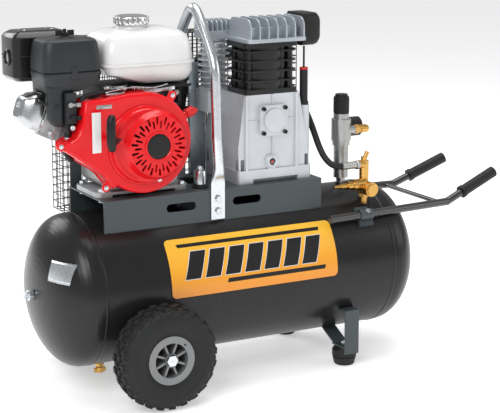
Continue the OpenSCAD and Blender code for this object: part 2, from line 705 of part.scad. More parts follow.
module fuel_tank() color("white") placed() difference() {
    union() {
        tank_pad(0, 34, 0, 0, 0, ft_seam - 3, ft_seam + 3);
        upper_half(0);
        lower_half(0);
        translate([cap_x, cap_y, 0]) z_rod(36, ft_top - 4, ft_top + 5);
    }
    upper_half(ft_wall);
    lower_half(ft_wall);
    tank_pad(12, 30, 0, 0, 0, ft_seam - 4, ft_seam + 4);
    translate([cap_x, cap_y, 0]) z_rod(30, ft_top - 8, ft_top + 6);
}
module fuel_cap() color("silver") placed() translate([cap_x, cap_y, 0]) {
    z_rod(42, ft_top + 5.3, ft_top + 26);
    for (a = [0:30:330]) rotate([0, 0, a]) translate([38, 0, 0]) z_rod(6, ft_top + 7, ft_top + 26);
    z_rod(36, ft_top + 25, ft_top + 28);
}

muffler_x = -450;
muffler_z = ez + 201;
module muffler() color("black") placed() {
    difference() {
        union() {
            front_pad(muffler_x, muffler_z, 144, 114, 18, 34, 128);
            pad(muffler_x, 81, 124, 84, 14, muffler_z + 56, muffler_z + 59);
            translate([0, 76, muffler_z - 2]) x_rod(20, -527, -520);
        }
        front_pad(muffler_x, muffler_z, 140, 110, 16, 36, 126);
        translate([0, 76, muffler_z - 2]) x_rod(16, -528, -500);
    }
    box(-462, -432, 54.02, 84, ez + 92, muffler_z - 56);
}
module stop_switch() color("red") placed() at_switch() {
    z_rod(12, shroud_r + 12.3, shroud_r + 32);
    box(-4, 4, -13, 13, shroud_r + 18, shroud_r + 38);
}

// ---- pump ----

module case_outline() polygon([[4, deck_z + 30], [204, deck_z + 30], [196, deck_z + 90], [172, case_top],
    [20, case_top], [2, deck_z + 90]]);
module pump_crankcase() color("silver") placed() difference() {
    union() {
        translate([0, case_y1, 0]) rotate([90, 0, 0]) linear_extrude(case_y1 - case_y0) case_outline();
        pad(104, 7, 208, 184, 12, deck_z, deck_z + 33);
        box(-22, 60, 34, case_y1, case_top - 54, case_top);
        translate([oil_x, oil_y, 0]) z_rod(oil_r, deck_z + 28, oil_top);
        box(px + 74, oil_x, oil_y - 4, oil_y + 4, deck_z + 30, oil_top - 6);
        // raised edge ribs of the front face
        for (x = [24, 164]) box(x - 4, x + 4, case_y0 - 5, case_y0 + 1, deck_z + 33, case_top);
        box(px - 2, px + 2, case_y0 - 4, case_y0 + 1, deck_z + 60, case_top);
        box(24, 164, case_y0 - 3, case_y0 + 1, pz - 2, pz + 2);
        translate([94, 0, deck_z + 50]) y_rod(19, case_y0 - 5, case_y0 + 1);
        translate([px, 0, pz]) y_rod(40, case_y1 - eps, case_y1 + 5);
    }
    translate([px, 0, pz]) y_rod(60, case_y0 + 16, case_y1 - 16);
    translate([px, 0, pz]) y_rod(pshaft_r + running, case_y0 + 6, case_y1 + 8);
    translate([first_x, first_y, 0]) z_rod(first_bore / 2, pz, case_top + eps);
    translate([second_x, second_y, 0]) z_rod(second_bore / 2, case_top - 40, case_top + eps);
    translate([oil_x, oil_y, 0]) z_rod(9, oil_top - 30, oil_top + eps);
    translate([94, 0, deck_z + 50]) y_rod(13, case_y0 - 6, case_y0 + 4);
    pad(104, -88, 126, 40, 4, deck_z - eps, deck_z + 10);
    pad(104, 7, 168, 130, 10, deck_z - eps, deck_z + 14);
    for (p = pump_bolts) translate([p[0], p[1], 0]) {
        z_rod(bolt_r + 0.4, deck_z - eps, deck_z + 40);
        z_rod(11, deck_z + 16, deck_z + 60);
    }
    front_pad(px, pz, 80, 78, 8, case_y0 - 8, case_y0);
}
cover_screws = [for (sx = [-1, 1], sz = [-1, 1]) [px + sx * 30, pz + sz * 30]];
module bearing_cover() color("silver") placed() difference() {
    union() {
        front_pad(px, pz, 78, 76, 10, case_y0 - 10, case_y0 - 0.02);
        translate([px, 0, pz]) y_rod(29, case_y0 - 15, case_y0 - 9);
    }
    for (p = cover_screws) translate([p[0], 0, p[1]]) {
        y_rod(5.4, case_y0 - 16, case_y0 - 5);
        y_rod(2.6, case_y0 - 6, case_y0 + eps);
    }
}
module sight_glass() color("tomato") placed() translate([94, 0, deck_z + 50]) {
    y_rod(12.9, case_y0 - 5, case_y0 + 3.9);
    difference() {
        y_rod(16, case_y0 - 9, case_y0 - 5.02);
        y_rod(8, case_y0 - 10, case_y0 - 7);
    }
}
module breather_pipe() color("dimgray") placed() translate([oil_x, oil_y, 0]) {
    z_rod(8.9, oil_top - 28, oil_top + 1);
    z_rod(12, oil_top + 0.02, oil_top + 8);
    z_rod(10, oil_top + 7, breather_top);
    z_rod(2.5, breather_top - eps, filter_z0 - 0.02);
}
first_fins = [for (i = [1:4]) case_top + 6 + i * 24];
module first_cylinder() color("black") placed() difference() {
    union() {
        pad(first_x, first_y, 144, 104, 10, case_top, case_top + 12);
        translate([first_x, first_y, 0]) z_rod(first_bore / 2 + 12, case_top, cyl_top);
        for (z = first_fins) pad(first_x, first_y, 148, 108, 22, z, z + 4);
        pad(first_x, first_y, 148, 108, 12, cyl_top - 12, cyl_top);
        for (sx = [-1, 1], sy = [-1, 1]) translate([first_x + sx * 56, first_y + sy * 36, 0]) z_rod(7, case_top, cyl_top);
    }
    translate([first_x, first_y, 0]) z_rod(first_bore / 2, case_top - eps, cyl_top + eps);
}
// A fin standing in the YZ plane, with its two upper corners rounded
module head_fin(x, t, y0, y1, z0, z1, r) translate([x, 0, 0]) rotate([90, 0, 90]) linear_extrude(t) union() {
    translate([y0, z0]) square([y1 - y0, z1 - z0 - r]);
    translate([y0 + r, z0]) square([y1 - y0 - 2 * r, z1 - z0]);
    for (y = [y0 + r, y1 - r]) translate([y, z1 - r]) circle(r);
}
first_head_x0 = 27;
first_head_x1 = 190;
module first_head() color("lightsteelblue") placed() {
    y0 = first_y - 62;
    y1 = first_y + 50;
    pad((first_head_x0 + first_head_x1) / 2, (y0 + y1) / 2, first_head_x1 - first_head_x0, y1 - y0, 10, cyl_top, cyl_top + 9);
    pad((first_head_x0 + first_head_x1) / 2, (y0 + y1) / 2, 130, 70, 10, cyl_top + 8, cyl_top + 34);
    for (i = [0:6]) head_fin(first_head_x0 + 6 + i * 24.5, 3.5, y0 + 1, y1 - 1, cyl_top + 8, cyl_top + 58, 24);
}
module second_cylinder() color("silver") placed() translate([second_x, second_y, 0]) difference() {
    union() {
        z_rod(second_bore / 2 + 8, case_top, cyl_top);
        for (z = [case_top + 8 : 12.5 : cyl_top - 10]) z_rod(second_fin_r, z, z + 3);
        for (z = [case_top, cyl_top - 6]) z_rod(second_fin_r - 2, z, z + 6);
    }
    z_rod(second_bore / 2, case_top - eps, cyl_top + eps);
}
module second_head() color("lightsteelblue") placed() {
    pad(second_x, second_y, 78, 76, 10, cyl_top, cyl_top + 20);
    for (i = [0:5]) head_fin(second_x - 35 + i * 13.2, 3, second_y - 36, second_y + 36, cyl_top + 19, cyl_top + 46, 12);
    translate([0, second_y + 10, cyl_top + 10]) x_rod(9, second_x + 38, second_x + 52);
    // transfer duct from the low pressure head
    box(30, 50, first_y + 50.02, second_y - 37, cyl_top + 1, cyl_top + 8.9);
}
module intake_filter() color("dimgray") placed() {
    front_pad(first_head_x1 + 36, cyl_top + 24, 64, 82, 18, first_y - 42, first_y + 42);
    translate([0, first_y, cyl_top + 5]) x_rod(4, first_head_x1 + 0.02, first_head_x1 + 6);
}
module pump_shaft() color("silver") placed() translate([px, 0, pz]) difference() {
    union() {
        y_rod(pshaft_r, case_y0 + 8, belt_y + 26);
        for (y = [-50, 0, 40]) y_rod(46, y, y + 14);
    }
}
module flywheel() color("black") placed() translate([px, 0, pz]) difference() {
    union() {
        difference() {
            grooved_rim(flywheel_r, flywheel_w, belt_y);
            y_rod(flywheel_r - 26, belt_y - 50, belt_y + 50);
        }
        y_rod(pshaft_r + 14, belt_y - 20, belt_y + 20);
        for (a = [0:60:300]) rotate([0, a, 0]) translate([0, belt_y, 0]) rotate([25, 0, 0])
            box(pshaft_r + 8, flywheel_r - 22, -14, 14, -4, 4);
    }
    y_rod(pshaft_r, belt_y - 50, belt_y + 50);
}
// The belt wraps both wheels and runs straight between their tangent points
module belt_turn(x, z, r, from, sweep) translate([x, belt_y, z]) rotate([90, 0, 0]) rotate([0, 0, from])
    rotate_extrude(angle = sweep) translate([r - belt_t, -belt_w / 2]) square([belt_t, belt_w]);
module drive_belt() color("darkslategray") placed() {
    span = norm([px - ex, pz - ez]);
    slope = atan2(pz - ez, px - ex);
    wrap = acos((pulley_r - flywheel_r) / span);
    lap = 0.5;        // the straight runs reach this far into the arcs
    shy = 0.2;        // and are this much thinner on each face
    belt_turn(ex, ez, pulley_r, slope + wrap, 360 - 2 * wrap);
    belt_turn(px, pz, flywheel_r, slope - wrap, 2 * wrap);
    for (s = [1, -1]) translate([ex, belt_y, ez]) rotate([90, 0, 0]) rotate([0, 0, slope + s * wrap])
        translate([pulley_r - belt_t + shy, (s > 0 ? -span * sin(wrap) : 0) - lap, -belt_w / 2 + shy])
            cube([belt_t - 2 * shy, span * sin(wrap) + 2 * lap, belt_w - 2 * shy]);
}
module piston(x, y, bore, h) translate([x, y, case_top + cyl_h / 2]) difference() {
    r = bore / 2 - piston_play;
    z_rod(r, -h / 2, h / 2);
    z_rod(r - 7, -h / 2 - eps, h / 2 - 10);
    for (i = [0:2]) difference() {
        z_rod(r + eps, h / 2 - 7 - i * 6, h / 2 - 5 - i * 6);
        z_rod(r - 2, -h, h);
    }
}
module pistons() color("silver") placed() {
    piston(first_x, first_y, first_bore, 48);
    piston(second_x, second_y, second_bore, 40);
}

// ---- air outlet ----

hose_points = [[77, 82, 830], [104, 86, 829], [134, 88, 815], [164, 84, 784], [190, 74, 744], [212, 54, 704],
    [228, 30, 668], [238, 6, 636], [243, -16, 604], [245, -36, 574], [246, -56, 546], [249, -76, 523],
    [257, -92, 508], [270, -101, 501], [290, -103, 500]];
function lerp(a, b, t) = a + (b - a) * t;
// Catmull-Rom curve through the hose's points
function hose_at(i, t) = let (n = len(hose_points), p0 = hose_points[max(i - 1, 0)], p1 = hose_points[i],
    p2 = hose_points[min(i + 1, n - 1)], p3 = hose_points[min(i + 2, n - 1)])
    0.5 * (2 * p1 + (p2 - p0) * t + (2 * p0 - 5 * p1 + 4 * p2 - p3) * t * t
        + (3 * p1 - p0 - 3 * p2 + p3) * t * t * t);
hose_line = [for (i = [0:len(hose_points) - 2], k = [0:3]) hose_at(i, k / 4)];
hose_path = concat(hose_line, [hose_points[len(hose_points) - 1]]);
function unit(v) = v / norm(v);
function hose_dir(i) = unit(hose_path[min(i + 1, len(hose_path) - 1)] - hose_path[max(i - 1, 0)]);
module swept_hose(r, sides) {
    n = len(hose_path);
    ref = [0.2, 1, 0.1];
    rings = [for (i = [0:n - 1]) let (d = hose_dir(i), u = unit(cross(d, ref)), v = cross(d, u))
        for (k = [0:sides - 1]) hose_path[i] + r * (cos(k * 360 / sides) * u + sin(k * 360 / sides) * v)];
    polyhedron(points = rings, faces = concat([[for (k = [0:sides - 1]) k]],
        [[for (k = [sides - 1:-1:0]) (n - 1) * sides + k]],
        [for (i = [0:n - 2], k = [0:sides - 1]) let (a = i * sides + k, b = i * sides + (k + 1) % sides)
            [a, a + sides, b + sides, b]]));
}
// The hose keeps its height over the deck; a steel ferrule is crimped on each end
hose_lift = deck_z - 477;
ferrule_z = hose_lift + 500;
module delivery_hose() color("black") placed() {
    translate([0, 0, hose_lift]) swept_hose(hose_r, 12);
    translate([0, -103, ferrule_z]) {
        x_rod(9.5, 284, 326);
        translate([325, 0, 0]) rotate([0, 90, 0]) hex_bolt(12, 8.9);
    }
    translate([0, 82, hose_lift + 830]) x_rod(9.5, second_x + 52.02, 84);
}
module check_valve() color("goldenrod") placed() difference() {
    union() {
        translate([valve_x, valve_y, 0]) {
            z_rod(10, tank_z + 100, valve_z - 4);
            translate([0, 0, valve_z - 12]) hex_bolt(14, 9);
            translate([0, 0, valve_z + 12]) y_rod(18, -40, 8);
            translate([0, 0, valve_z + 12]) y_rod(14, -44, -39);
            z_rod(12, valve_z + 20, ferrule_z + 8);
            z_rod(8, ferrule_z + 8, ferrule_z + 18);
            translate([4, 0, ferrule_z + 18]) rotate([0, 25, 0]) z_rod(5.5, -4, 14);
        }
        // pilot line branch towards the pump
        translate([0, valve_y - 8, valve_z + 22]) {
            x_rod(14, valve_x - 38, valve_x);
            x_rod(11, valve_x - 54, valve_x - 37);
            x_rod(7, valve_x - 74, valve_x - 53);
            x_cone(2.5, 5, valve_x - 92, valve_x - 73);
        }
        translate([0, -103, ferrule_z]) x_rod(10, 334, valve_x);
    }
    tank_solid();
    translate([valve_x, valve_y, 0]) z_rod(port_r, tank_z + 90, valve_z - 16);
}
reg_z = tank_top;
gauge_y = 14;
outlet_y = -15;
module regulator_body() color("silver") placed() difference() {
    union() {
        translate([reg_x, 0, 0]) {
            z_rod(9, reg_z - 6, reg_z + 12);
            translate([0, 0, reg_z + 6]) hex_bolt(13, 10);
            z_rod(19, reg_z + 16, reg_z + 100);
            z_rod(22.5, reg_z + 100, reg_z + 112);
            z_rod(25.5, reg_z + 112, reg_z + 168);
            z_rod(20, reg_z + 168, reg_z + 182);
            z_rod(6, reg_z + 181, reg_z + 196);
            translate([0, gauge_y, reg_z + 140]) x_rod(9, 0, 32);
            translate([0, outlet_y, reg_z + 140]) x_rod(10, 0, 30);
        }
    }
    tank_solid();
    translate([reg_x, 0, 0]) z_rod(port_r, reg_z - 8, reg_z + 40);
}
module regulator_knob() color("black") placed() translate([reg_x, 0, 0]) difference() {
    union() {
        z_rod(19.5, reg_z + 182.3, reg_z + 226);
        z_rod(16, reg_z + 225, reg_z + 232);
        for (a = [0:15:345]) rotate([0, 0, a]) translate([19, 0, 0]) z_rod(1.3, reg_z + 184, reg_z + 222, $fn = 16);
    }
    z_rod(6 + running, reg_z + 181, reg_z + 200);
}
dial_r = 25;
dial_x = 63;         // face of the dial, measured from the regulator's axis
module pressure_gauge() color("black") placed() translate([reg_x, gauge_y, reg_z + 140]) {
    x_rod(6, 32.02, 42);
    translate([0, dial_r - 13, 0]) difference() {
        x_rod(dial_r, 40, dial_x + 4);
        x_rod(dial_r - 2.5, dial_x, dial_x + 5);
        x_rod(1.5 + running, dial_x - 8, dial_x + 1);
    }
}
module gauge_needle() color("orangered") placed()
    translate([reg_x + dial_x, gauge_y + dial_r - 13, reg_z + 140]) {
        x_rod(1.5, -6, 1.2);
        x_rod(3, 0.4, 1.4);
        rotate([225, 0, 0]) box(0.4, 1.2, -6, dial_r - 7, -0.7, 0.7);
    }
module outlet_coupling() color("goldenrod") placed() translate([reg_x, outlet_y, reg_z + 140]) difference() {
    union() {
        translate([30.02, 0, 0]) rotate([0, 90, 0]) hex_bolt(12, 12);
        x_rod(9, 42, 48);
        x_rod(10.6, 48, 66);
        x_rod(8.5, 66, 70);
    }
    x_rod(5, 44, 71);
}

// ---- fasteners: separate bolts, nuts and plugs of the fixed parts ----

module fasteners() color("lightgray") placed() {
    for (p = engine_bolts) translate([p[0], p[1], 0]) {
        z_rod(bolt_r, deck_z - 12, deck_z + foot_t + 2);
        translate([0, 0, deck_z + foot_t + 0.02]) hex_bolt(9.5, 8);
        translate([0, 0, deck_z - deck_t - 8]) hex_bolt(9.5, 7.9);
    }
    for (p = pump_bolts) translate([p[0], p[1], 0]) {
        z_rod(bolt_r, deck_z - 12, deck_z + 18);
        translate([0, 0, deck_z + 16.02]) hex_bolt(9.5, 8);
        translate([0, 0, deck_z - deck_t - 8]) hex_bolt(9.5, 7.9);
    }
    both_sides() for (z = hoop_bolts) translate([hoop_x, 0, z]) {
        y_rod(bolt_r, -deck_half - 9, -deck_half + 10);
        translate([0, -deck_half - 5.1, 0]) rotate([90, 0, 0]) hex_bolt(8.5, 6);
        translate([0, -deck_half + deck_t + 7, 0]) rotate([90, 0, 0]) hex_bolt(8.5, 6.9);
    }
    both_sides() translate([foot_fore, -foot_y, 0]) {
        z_rod(bolt_r - 0.1, foot_h - 18, foot_h + strip + 10);
        translate([0, 0, foot_h + strip + 0.02]) hex_bolt(9, 8);
    }
    both_sides() translate([clamp_x, -tube_y, tube_z]) rotate([clamp_turn, 0, 0]) {
        z_rod(2.9, tube_r + 1, tube_r + 8);
        translate([0, 0, tube_r + 4.02]) hex_bolt(6.5, 5);
    }
    // cap nuts that keep the wheels on
    both_sides() translate([wheel_x, -wheel_y - rim_half - 0.02, wheel_r]) rotate([90, 0, 0]) hex_bolt(14, 3.9);
    for (p = cover_screws) translate([p[0], 0, p[1]]) y_rod(5, case_y0 - 11, case_y0 - 5.02);
    // threaded plugs in the middle of both dished ends
    for (s = [-1, 1]) translate([s * (seam + head_depth), 0, tank_z]) rotate([0, s * 90, 0]) {
        z_rod(plug_r, -10, 8);
        z_rod(13, 0.6, 12);
        translate([0, 0, 12]) hex_bolt(9, plug_len - 12);
    }
}

tank_shell();
tank_heads();
drain_valve();
drain_knob();
base_plate();
stands();
rubber_feet();
axle_brackets();
tyre_front();
rim_front();
tyre_rear();
rim_rear();
handle_frame();
handle_clamps();
handle_grips();
roll_bar();
guard_front();
guard_rear();
guard_edges();
engine_block();
engine_cylinder();
valve_cover();
fan_shroud();
starter_housing();
starter_grip();
fan_flywheel();
engine_shaft();
drive_pulley();
air_filter_base();
air_filter_cover();
wing_nut();
carburettor();
throttle_lever();
choke_lever();
fuel_lever();
fuel_tank();
fuel_cap();
muffler();
stop_switch();
pump_crankcase();
bearing_cover();
sight_glass();
breather_pipe();
first_cylinder();
first_head();
second_cylinder();
second_head();
intake_filter();
pump_shaft();
flywheel();
drive_belt();
pistons();
delivery_hose();
check_valve();
regulator_body();
regulator_knob();
pressure_gauge();
gauge_needle();
outlet_coupling();
fasteners();
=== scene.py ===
import json
import math

import bmesh
import bpy
from mathutils import Matrix, Vector

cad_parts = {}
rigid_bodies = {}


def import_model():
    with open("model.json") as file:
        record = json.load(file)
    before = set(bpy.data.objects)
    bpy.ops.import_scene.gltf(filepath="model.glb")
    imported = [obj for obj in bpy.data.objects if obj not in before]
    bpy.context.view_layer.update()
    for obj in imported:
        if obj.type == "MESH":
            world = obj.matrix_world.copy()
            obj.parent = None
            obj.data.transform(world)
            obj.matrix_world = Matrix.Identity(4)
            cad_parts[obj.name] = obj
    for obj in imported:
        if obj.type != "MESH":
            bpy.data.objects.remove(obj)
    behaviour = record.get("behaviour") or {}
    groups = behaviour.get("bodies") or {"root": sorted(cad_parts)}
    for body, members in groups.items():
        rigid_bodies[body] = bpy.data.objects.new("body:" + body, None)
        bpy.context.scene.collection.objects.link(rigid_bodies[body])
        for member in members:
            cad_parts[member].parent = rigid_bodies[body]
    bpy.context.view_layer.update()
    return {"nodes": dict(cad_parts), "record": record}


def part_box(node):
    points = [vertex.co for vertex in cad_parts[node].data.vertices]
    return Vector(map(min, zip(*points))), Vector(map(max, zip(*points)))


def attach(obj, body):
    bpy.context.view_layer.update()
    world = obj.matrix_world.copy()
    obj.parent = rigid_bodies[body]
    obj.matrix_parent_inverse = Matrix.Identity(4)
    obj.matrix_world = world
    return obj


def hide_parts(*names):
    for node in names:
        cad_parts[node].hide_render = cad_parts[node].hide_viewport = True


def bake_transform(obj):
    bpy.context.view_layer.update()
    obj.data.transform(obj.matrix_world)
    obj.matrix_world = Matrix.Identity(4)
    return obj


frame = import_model()
shellLow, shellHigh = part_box("tank_shell")
middleX = (shellLow.x + shellHigh.x) / 2   # the receiver's middle, from which every place below is measured


def at(x, y, z):
    return Vector((middleX + x / 1000, y / 1000, z / 1000))   # millimetres to the frame's metres


# finishes: patch and grain are pattern scales, bump is the grain's height in mm, edge the radius that softens corners
finishLooks = {
    "tank_black": dict(colour=(0.0105, 0.0105, 0.011), other=(0.015, 0.015, 0.0155), rough=(0.24, 0.34), coat=0.12,
                       coatRough=0.2, shine=0.24, grain=620, bump=0.012, patch=5),
    "frame_slate": dict(colour=(0.045, 0.058, 0.063), other=(0.054, 0.068, 0.073), rough=(0.36, 0.48), coat=0.08,
                        coatRough=0.3, shine=0.4, grain=900, bump=0.02, worn=(0.12, 0.13, 0.14), wear=0.35),
    "guard_black": dict(colour=(0.008, 0.008, 0.009), other=(0.013, 0.013, 0.014), shine=0.3, rough=(0.3, 0.45),
                        grain=700, bump=0.02),
    "engine_red": dict(colour=(0.74, 0.0055, 0.0105), other=(0.65, 0.0045, 0.009), rough=(0.22, 0.3), coat=0.28,
                       coatRough=0.06, shine=0.22, grain=500, bump=0.01, worn=(0.6, 0.03, 0.03), wear=0.25),
    "fuel_tank_white": dict(colour=(0.74, 0.745, 0.745), other=(0.68, 0.685, 0.68), rough=(0.2, 0.28), coat=0.4,
                            coatRough=0.07, grain=260, bump=0.008),
    "cast_aluminium": dict(kind="cast", colour=(0.6, 0.61, 0.62), other=(0.42, 0.43, 0.44), metal=0.8,
                           rough=(0.4, 0.6), grain=900, bump=0.09, worn=(0.62, 0.62, 0.6), wear=0.7),
    "pump_silver": dict(kind="cast", colour=(0.62, 0.645, 0.68), other=(0.53, 0.55, 0.585), metal=0.45,
                        rough=(0.32, 0.46),
                        coat=0.25, coatRough=0.2, grain=650, bump=0.06, worn=(0.62, 0.63, 0.64), wear=0.5),
    "head_blue_grey": dict(kind="cast", colour=(0.36, 0.4, 0.445), other=(0.47, 0.51, 0.55), metal=0.6,
                           rough=(0.3, 0.45), grain=700, bump=0.06, worn=(0.85, 0.88, 0.9), wear=0.8),
    "cylinder_black": dict(kind="cast", colour=(0.006, 0.006, 0.007), other=(0.011, 0.011, 0.012), rough=(0.2, 0.34),
                           shine=0.3, coat=0.2, coatRough=0.14, grain=550, bump=0.07, worn=(0.05, 0.05, 0.052),
                           wear=0.4),
    "flywheel_iron": dict(kind="cast", colour=(0.022, 0.022, 0.024), other=(0.04, 0.04, 0.042), metal=0.3,
                          rough=(0.35, 0.5), grain=500, bump=0.07, worn=(0.16, 0.16, 0.16), wear=0.6),
    "muffler_black": dict(colour=(0.006, 0.006, 0.0065), other=(0.01, 0.0095, 0.01), rough=(0.16, 0.27), shine=0.3,
                          coat=0.2,
                          coatRough=0.1, grain=330, bump=0.015, worn=(0.05, 0.048, 0.046), wear=0.3),
    "housing_plastic": dict(kind="leather", colour=(0.016, 0.0185, 0.021), other=(0.022, 0.025, 0.028),
                            rough=(0.36, 0.5),
                            shine=0.38,
                            grain=1100, bump=0.05, worn=(0.05, 0.055, 0.065), wear=0.3),
    "black_plastic": dict(kind="leather", colour=(0.007, 0.007, 0.0075), other=(0.012, 0.012, 0.0125),
                          rough=(0.34, 0.48),
                          shine=0.3,
                          grain=1300, bump=0.03, worn=(0.04, 0.04, 0.042), wear=0.3),
    "red_plastic": dict(colour=(0.62, 0.012, 0.012), other=(0.54, 0.01, 0.01), rough=(0.3, 0.4), grain=800, bump=0.012,
                        worn=(0.7, 0.06, 0.05), wear=0.3),
    "zinc": dict(kind="spangle", colour=(0.6, 0.635, 0.67), other=(0.68, 0.71, 0.735), metal=1.0, rough=(0.2, 0.32),
                 grain=120, bump=0.012, worn=(0.8, 0.82, 0.83), wear=0.4),
    "chrome": dict(colour=(0.72, 0.72, 0.72), other=(0.6, 0.6, 0.61), metal=1.0, rough=(0.08, 0.16), grain=300,
                   bump=0.004),
    "steel": dict(kind="brushed", colour=(0.46, 0.46, 0.45), other=(0.34, 0.34, 0.335), metal=1.0, rough=(0.24, 0.4),
                  grain=240, stretch=(1, 1, 9), bump=0.012, worn=(0.7, 0.7, 0.69), wear=0.5),
    "brass": dict(kind="brushed", colour=(0.71, 0.42, 0.12), other=(0.55, 0.31, 0.085), metal=1.0, rough=(0.2, 0.36),
                  grain=260, stretch=(1, 1, 6), bump=0.01, worn=(0.86, 0.62, 0.3), wear=0.5),
    "rim_grey": dict(colour=(0.175, 0.18, 0.185), other=(0.21, 0.215, 0.22), metal=0.25, rough=(0.3, 0.42), coat=0.2,
                     coatRough=0.2, grain=600, bump=0.02, worn=(0.36, 0.37, 0.38), wear=0.3),
    "tyre": dict(kind="leather", colour=(0.009, 0.0098, 0.0108), other=(0.016, 0.017, 0.018), shine=0.32,
                 rough=(0.5, 0.68),
                 grain=900, bump=0.05, worn=(0.04, 0.039, 0.037), wear=0.5),
    "black_rubber": dict(kind="leather", colour=(0.008, 0.008, 0.009), other=(0.014, 0.014, 0.015), shine=0.35,
                         rough=(0.45, 0.6),
                         grain=1000, bump=0.04, worn=(0.04, 0.04, 0.04), wear=0.4),
    "belt_rubber": dict(kind="woven", colour=(0.014, 0.014, 0.014), other=(0.032, 0.031, 0.03), rough=(0.6, 0.8),
                        grain=420, bump=0.05),
    "lens_red": dict(colour=(0.75, 0.02, 0.01), other=(0.5, 0.01, 0.005), rough=(0.06, 0.12), coat=1.0, coatRough=0.03,
                     grain=60, bump=0.004, patch=60),
    "polished_cover": dict(kind="cast", colour=(0.6, 0.61, 0.62), other=(0.5, 0.51, 0.52), metal=1.0,
                           rough=(0.14, 0.26),
                           grain=420, bump=0.02, worn=(0.8, 0.8, 0.8), wear=0.5),
    "post_zinc": dict(kind="spangle", colour=(0.28, 0.335, 0.37), other=(0.34, 0.395, 0.43), metal=0.6,
                      rough=(0.3, 0.42),
                      grain=110, bump=0.01, worn=(0.5, 0.55, 0.58), wear=0.4),
    "screw_black": dict(kind="leather", colour=(0.012, 0.012, 0.013), other=(0.02, 0.02, 0.021), metal=0.3,
                        rough=(0.25, 0.4),
                        grain=900, bump=0.01, worn=(0.12, 0.12, 0.12), wear=0.4),
    "glass_dark": dict(colour=(0.02, 0.018, 0.014), other=(0.05, 0.04, 0.03), rough=(0.04, 0.1), coat=1.0,
                       coatRough=0.03,
                       grain=90, bump=0.003),
    "tube_black": dict(colour=(0.02, 0.021, 0.023), other=(0.028, 0.029, 0.031), rough=(0.24, 0.36), coat=0.4,
                       coatRough=0.15, grain=700, bump=0.012, worn=(0.1, 0.1, 0.1), wear=0.3),
}


class NodeBench:
    # the nodes of one material and short ways to add and join them
    def __init__(self, name):
        self.material = bpy.data.materials.new(name)
        self.material.use_nodes = True
        self.tree = self.material.node_tree
        self.shader = self.tree.nodes["Principled BSDF"]

    def add(self, kind, inputs=None, **settings):
        node = self.tree.nodes.new("ShaderNode" + kind)
        for key, value in settings.items():
            setattr(node, key, value)
        for key, value in (inputs or {}).items():
            self.put(node.inputs[key], value)
        return node

    def put(self, socket, value):
        if isinstance(value, bpy.types.NodeSocket):
            self.tree.links.new(value, socket)
        elif socket.type == "RGBA" and len(value) == 3:
            socket.default_value = (*value, 1)
        else:
            socket.default_value = value

    def mix(self, share, first, second):
        node = self.add("Mix", data_type="RGBA")
        for index, value in ((0, share), (6, first), (7, second)):
            self.put(node.inputs[index], value)
        return node.outputs[2]

    def work(self, operation, first, second=0.0, clamp=False):
        return self.add("Math", {0: first, 1: second}, operation=operation, use_clamp=clamp).outputs[0]

    def spread(self, value, low, high, toLow, toHigh):
        return self.add("MapRange", {0: value, 1: low, 2: high, 3: toLow, 4: toHigh}).outputs[0]

    def noise(self, place, scale, detail=3.0):
        return self.add("TexNoise", {"Vector": place, "Scale": scale, "Detail": detail}).outputs[0]


edgeRadius = 0.0009   # how far the finish rounds a sharp corner


def makeFinish(name, look):
    bench = NodeBench(name)
    place = bench.add("TexCoord").outputs["Object"]
    patches = bench.noise(place, look.get("patch", 14), 4.0)
    if "stretch" in look:
        place = bench.add("Mapping", {"Vector": place, "Scale": look["stretch"]}).outputs[0]
    kind, scale = look.get("kind", "peel"), look["grain"]
    fine = bench.noise(place, scale, 2.0)
    tint = patches
    if kind in ("cast", "leather", "spangle"):
        cells = bench.add("TexVoronoi", {"Vector": place, "Scale": scale * (0.5 if kind == "cast" else 1)})
        if kind == "spangle":
            tint = bench.work("ADD", bench.work("MULTIPLY", patches, 0.4),
                              bench.work("MULTIPLY", cells.outputs["Color"], 0.6))
        else:
            fine = bench.work("ADD", bench.work("MULTIPLY", cells.outputs["Distance"], 0.6),
                              bench.work("MULTIPLY", fine, 0.7))
    elif kind == "woven":
        ribs = bench.add("TexWave", {"Vector": place, "Scale": scale, "Distortion": 0.6}).outputs["Fac"]
        fine = bench.work("ADD", ribs, bench.work("MULTIPLY", fine, 0.4))
    tint = bench.spread(tint, 0.3, 0.7, 0, 1)
    speckle = bench.spread(fine, 0.3, 0.8, 0, 0.25)
    colour = bench.mix(bench.work("ADD", bench.work("MULTIPLY", tint, 0.75), speckle, True), look["colour"],
                       look["other"])
    rounded = bench.add("Bevel", {"Radius": look.get("edge", edgeRadius)}, samples=4).outputs[0]
    if look.get("wear"):
        flat = bench.add("NewGeometry").outputs["Normal"]
        facing = bench.add("VectorMath", {0: rounded, 1: flat}, operation="DOT_PRODUCT").outputs["Value"]
        rub = bench.spread(bench.noise(place, 90, 4.0), 0.35, 0.65, 0.1, 1)
        edge = bench.work("MULTIPLY", bench.spread(facing, 0.995, 0.9, 0, look["wear"]), rub, True)
        colour = bench.mix(edge, colour, look["worn"])
    bench.put(bench.shader.inputs["Base Color"], colour)
    smooth, coarse = look["rough"]
    mixed = bench.work("ADD", bench.work("MULTIPLY", patches, 0.6), bench.work("MULTIPLY", fine, 0.4))
    bench.put(bench.shader.inputs["Roughness"], bench.spread(mixed, 0.3, 0.7, smooth, coarse))
    grain = bench.add("Bump", {"Height": fine, "Distance": look["bump"] / 1000, "Strength": 1.0, "Normal": rounded})
    bench.put(bench.shader.inputs["Normal"], grain.outputs[0])
    bench.shader.inputs["Metallic"].default_value = look.get("metal", 0.0)
    bench.shader.inputs["Specular IOR Level"].default_value = look.get("shine", 0.5)
    if look.get("coat"):
        bench.shader.inputs["Coat Weight"].default_value = look["coat"]
        bench.shader.inputs["Coat Roughness"].default_value = look["coatRough"]
    return bench.material


finishes = {name: makeFinish(name, look) for name, look in finishLooks.items()}
print("finishes made:", len(finishes))

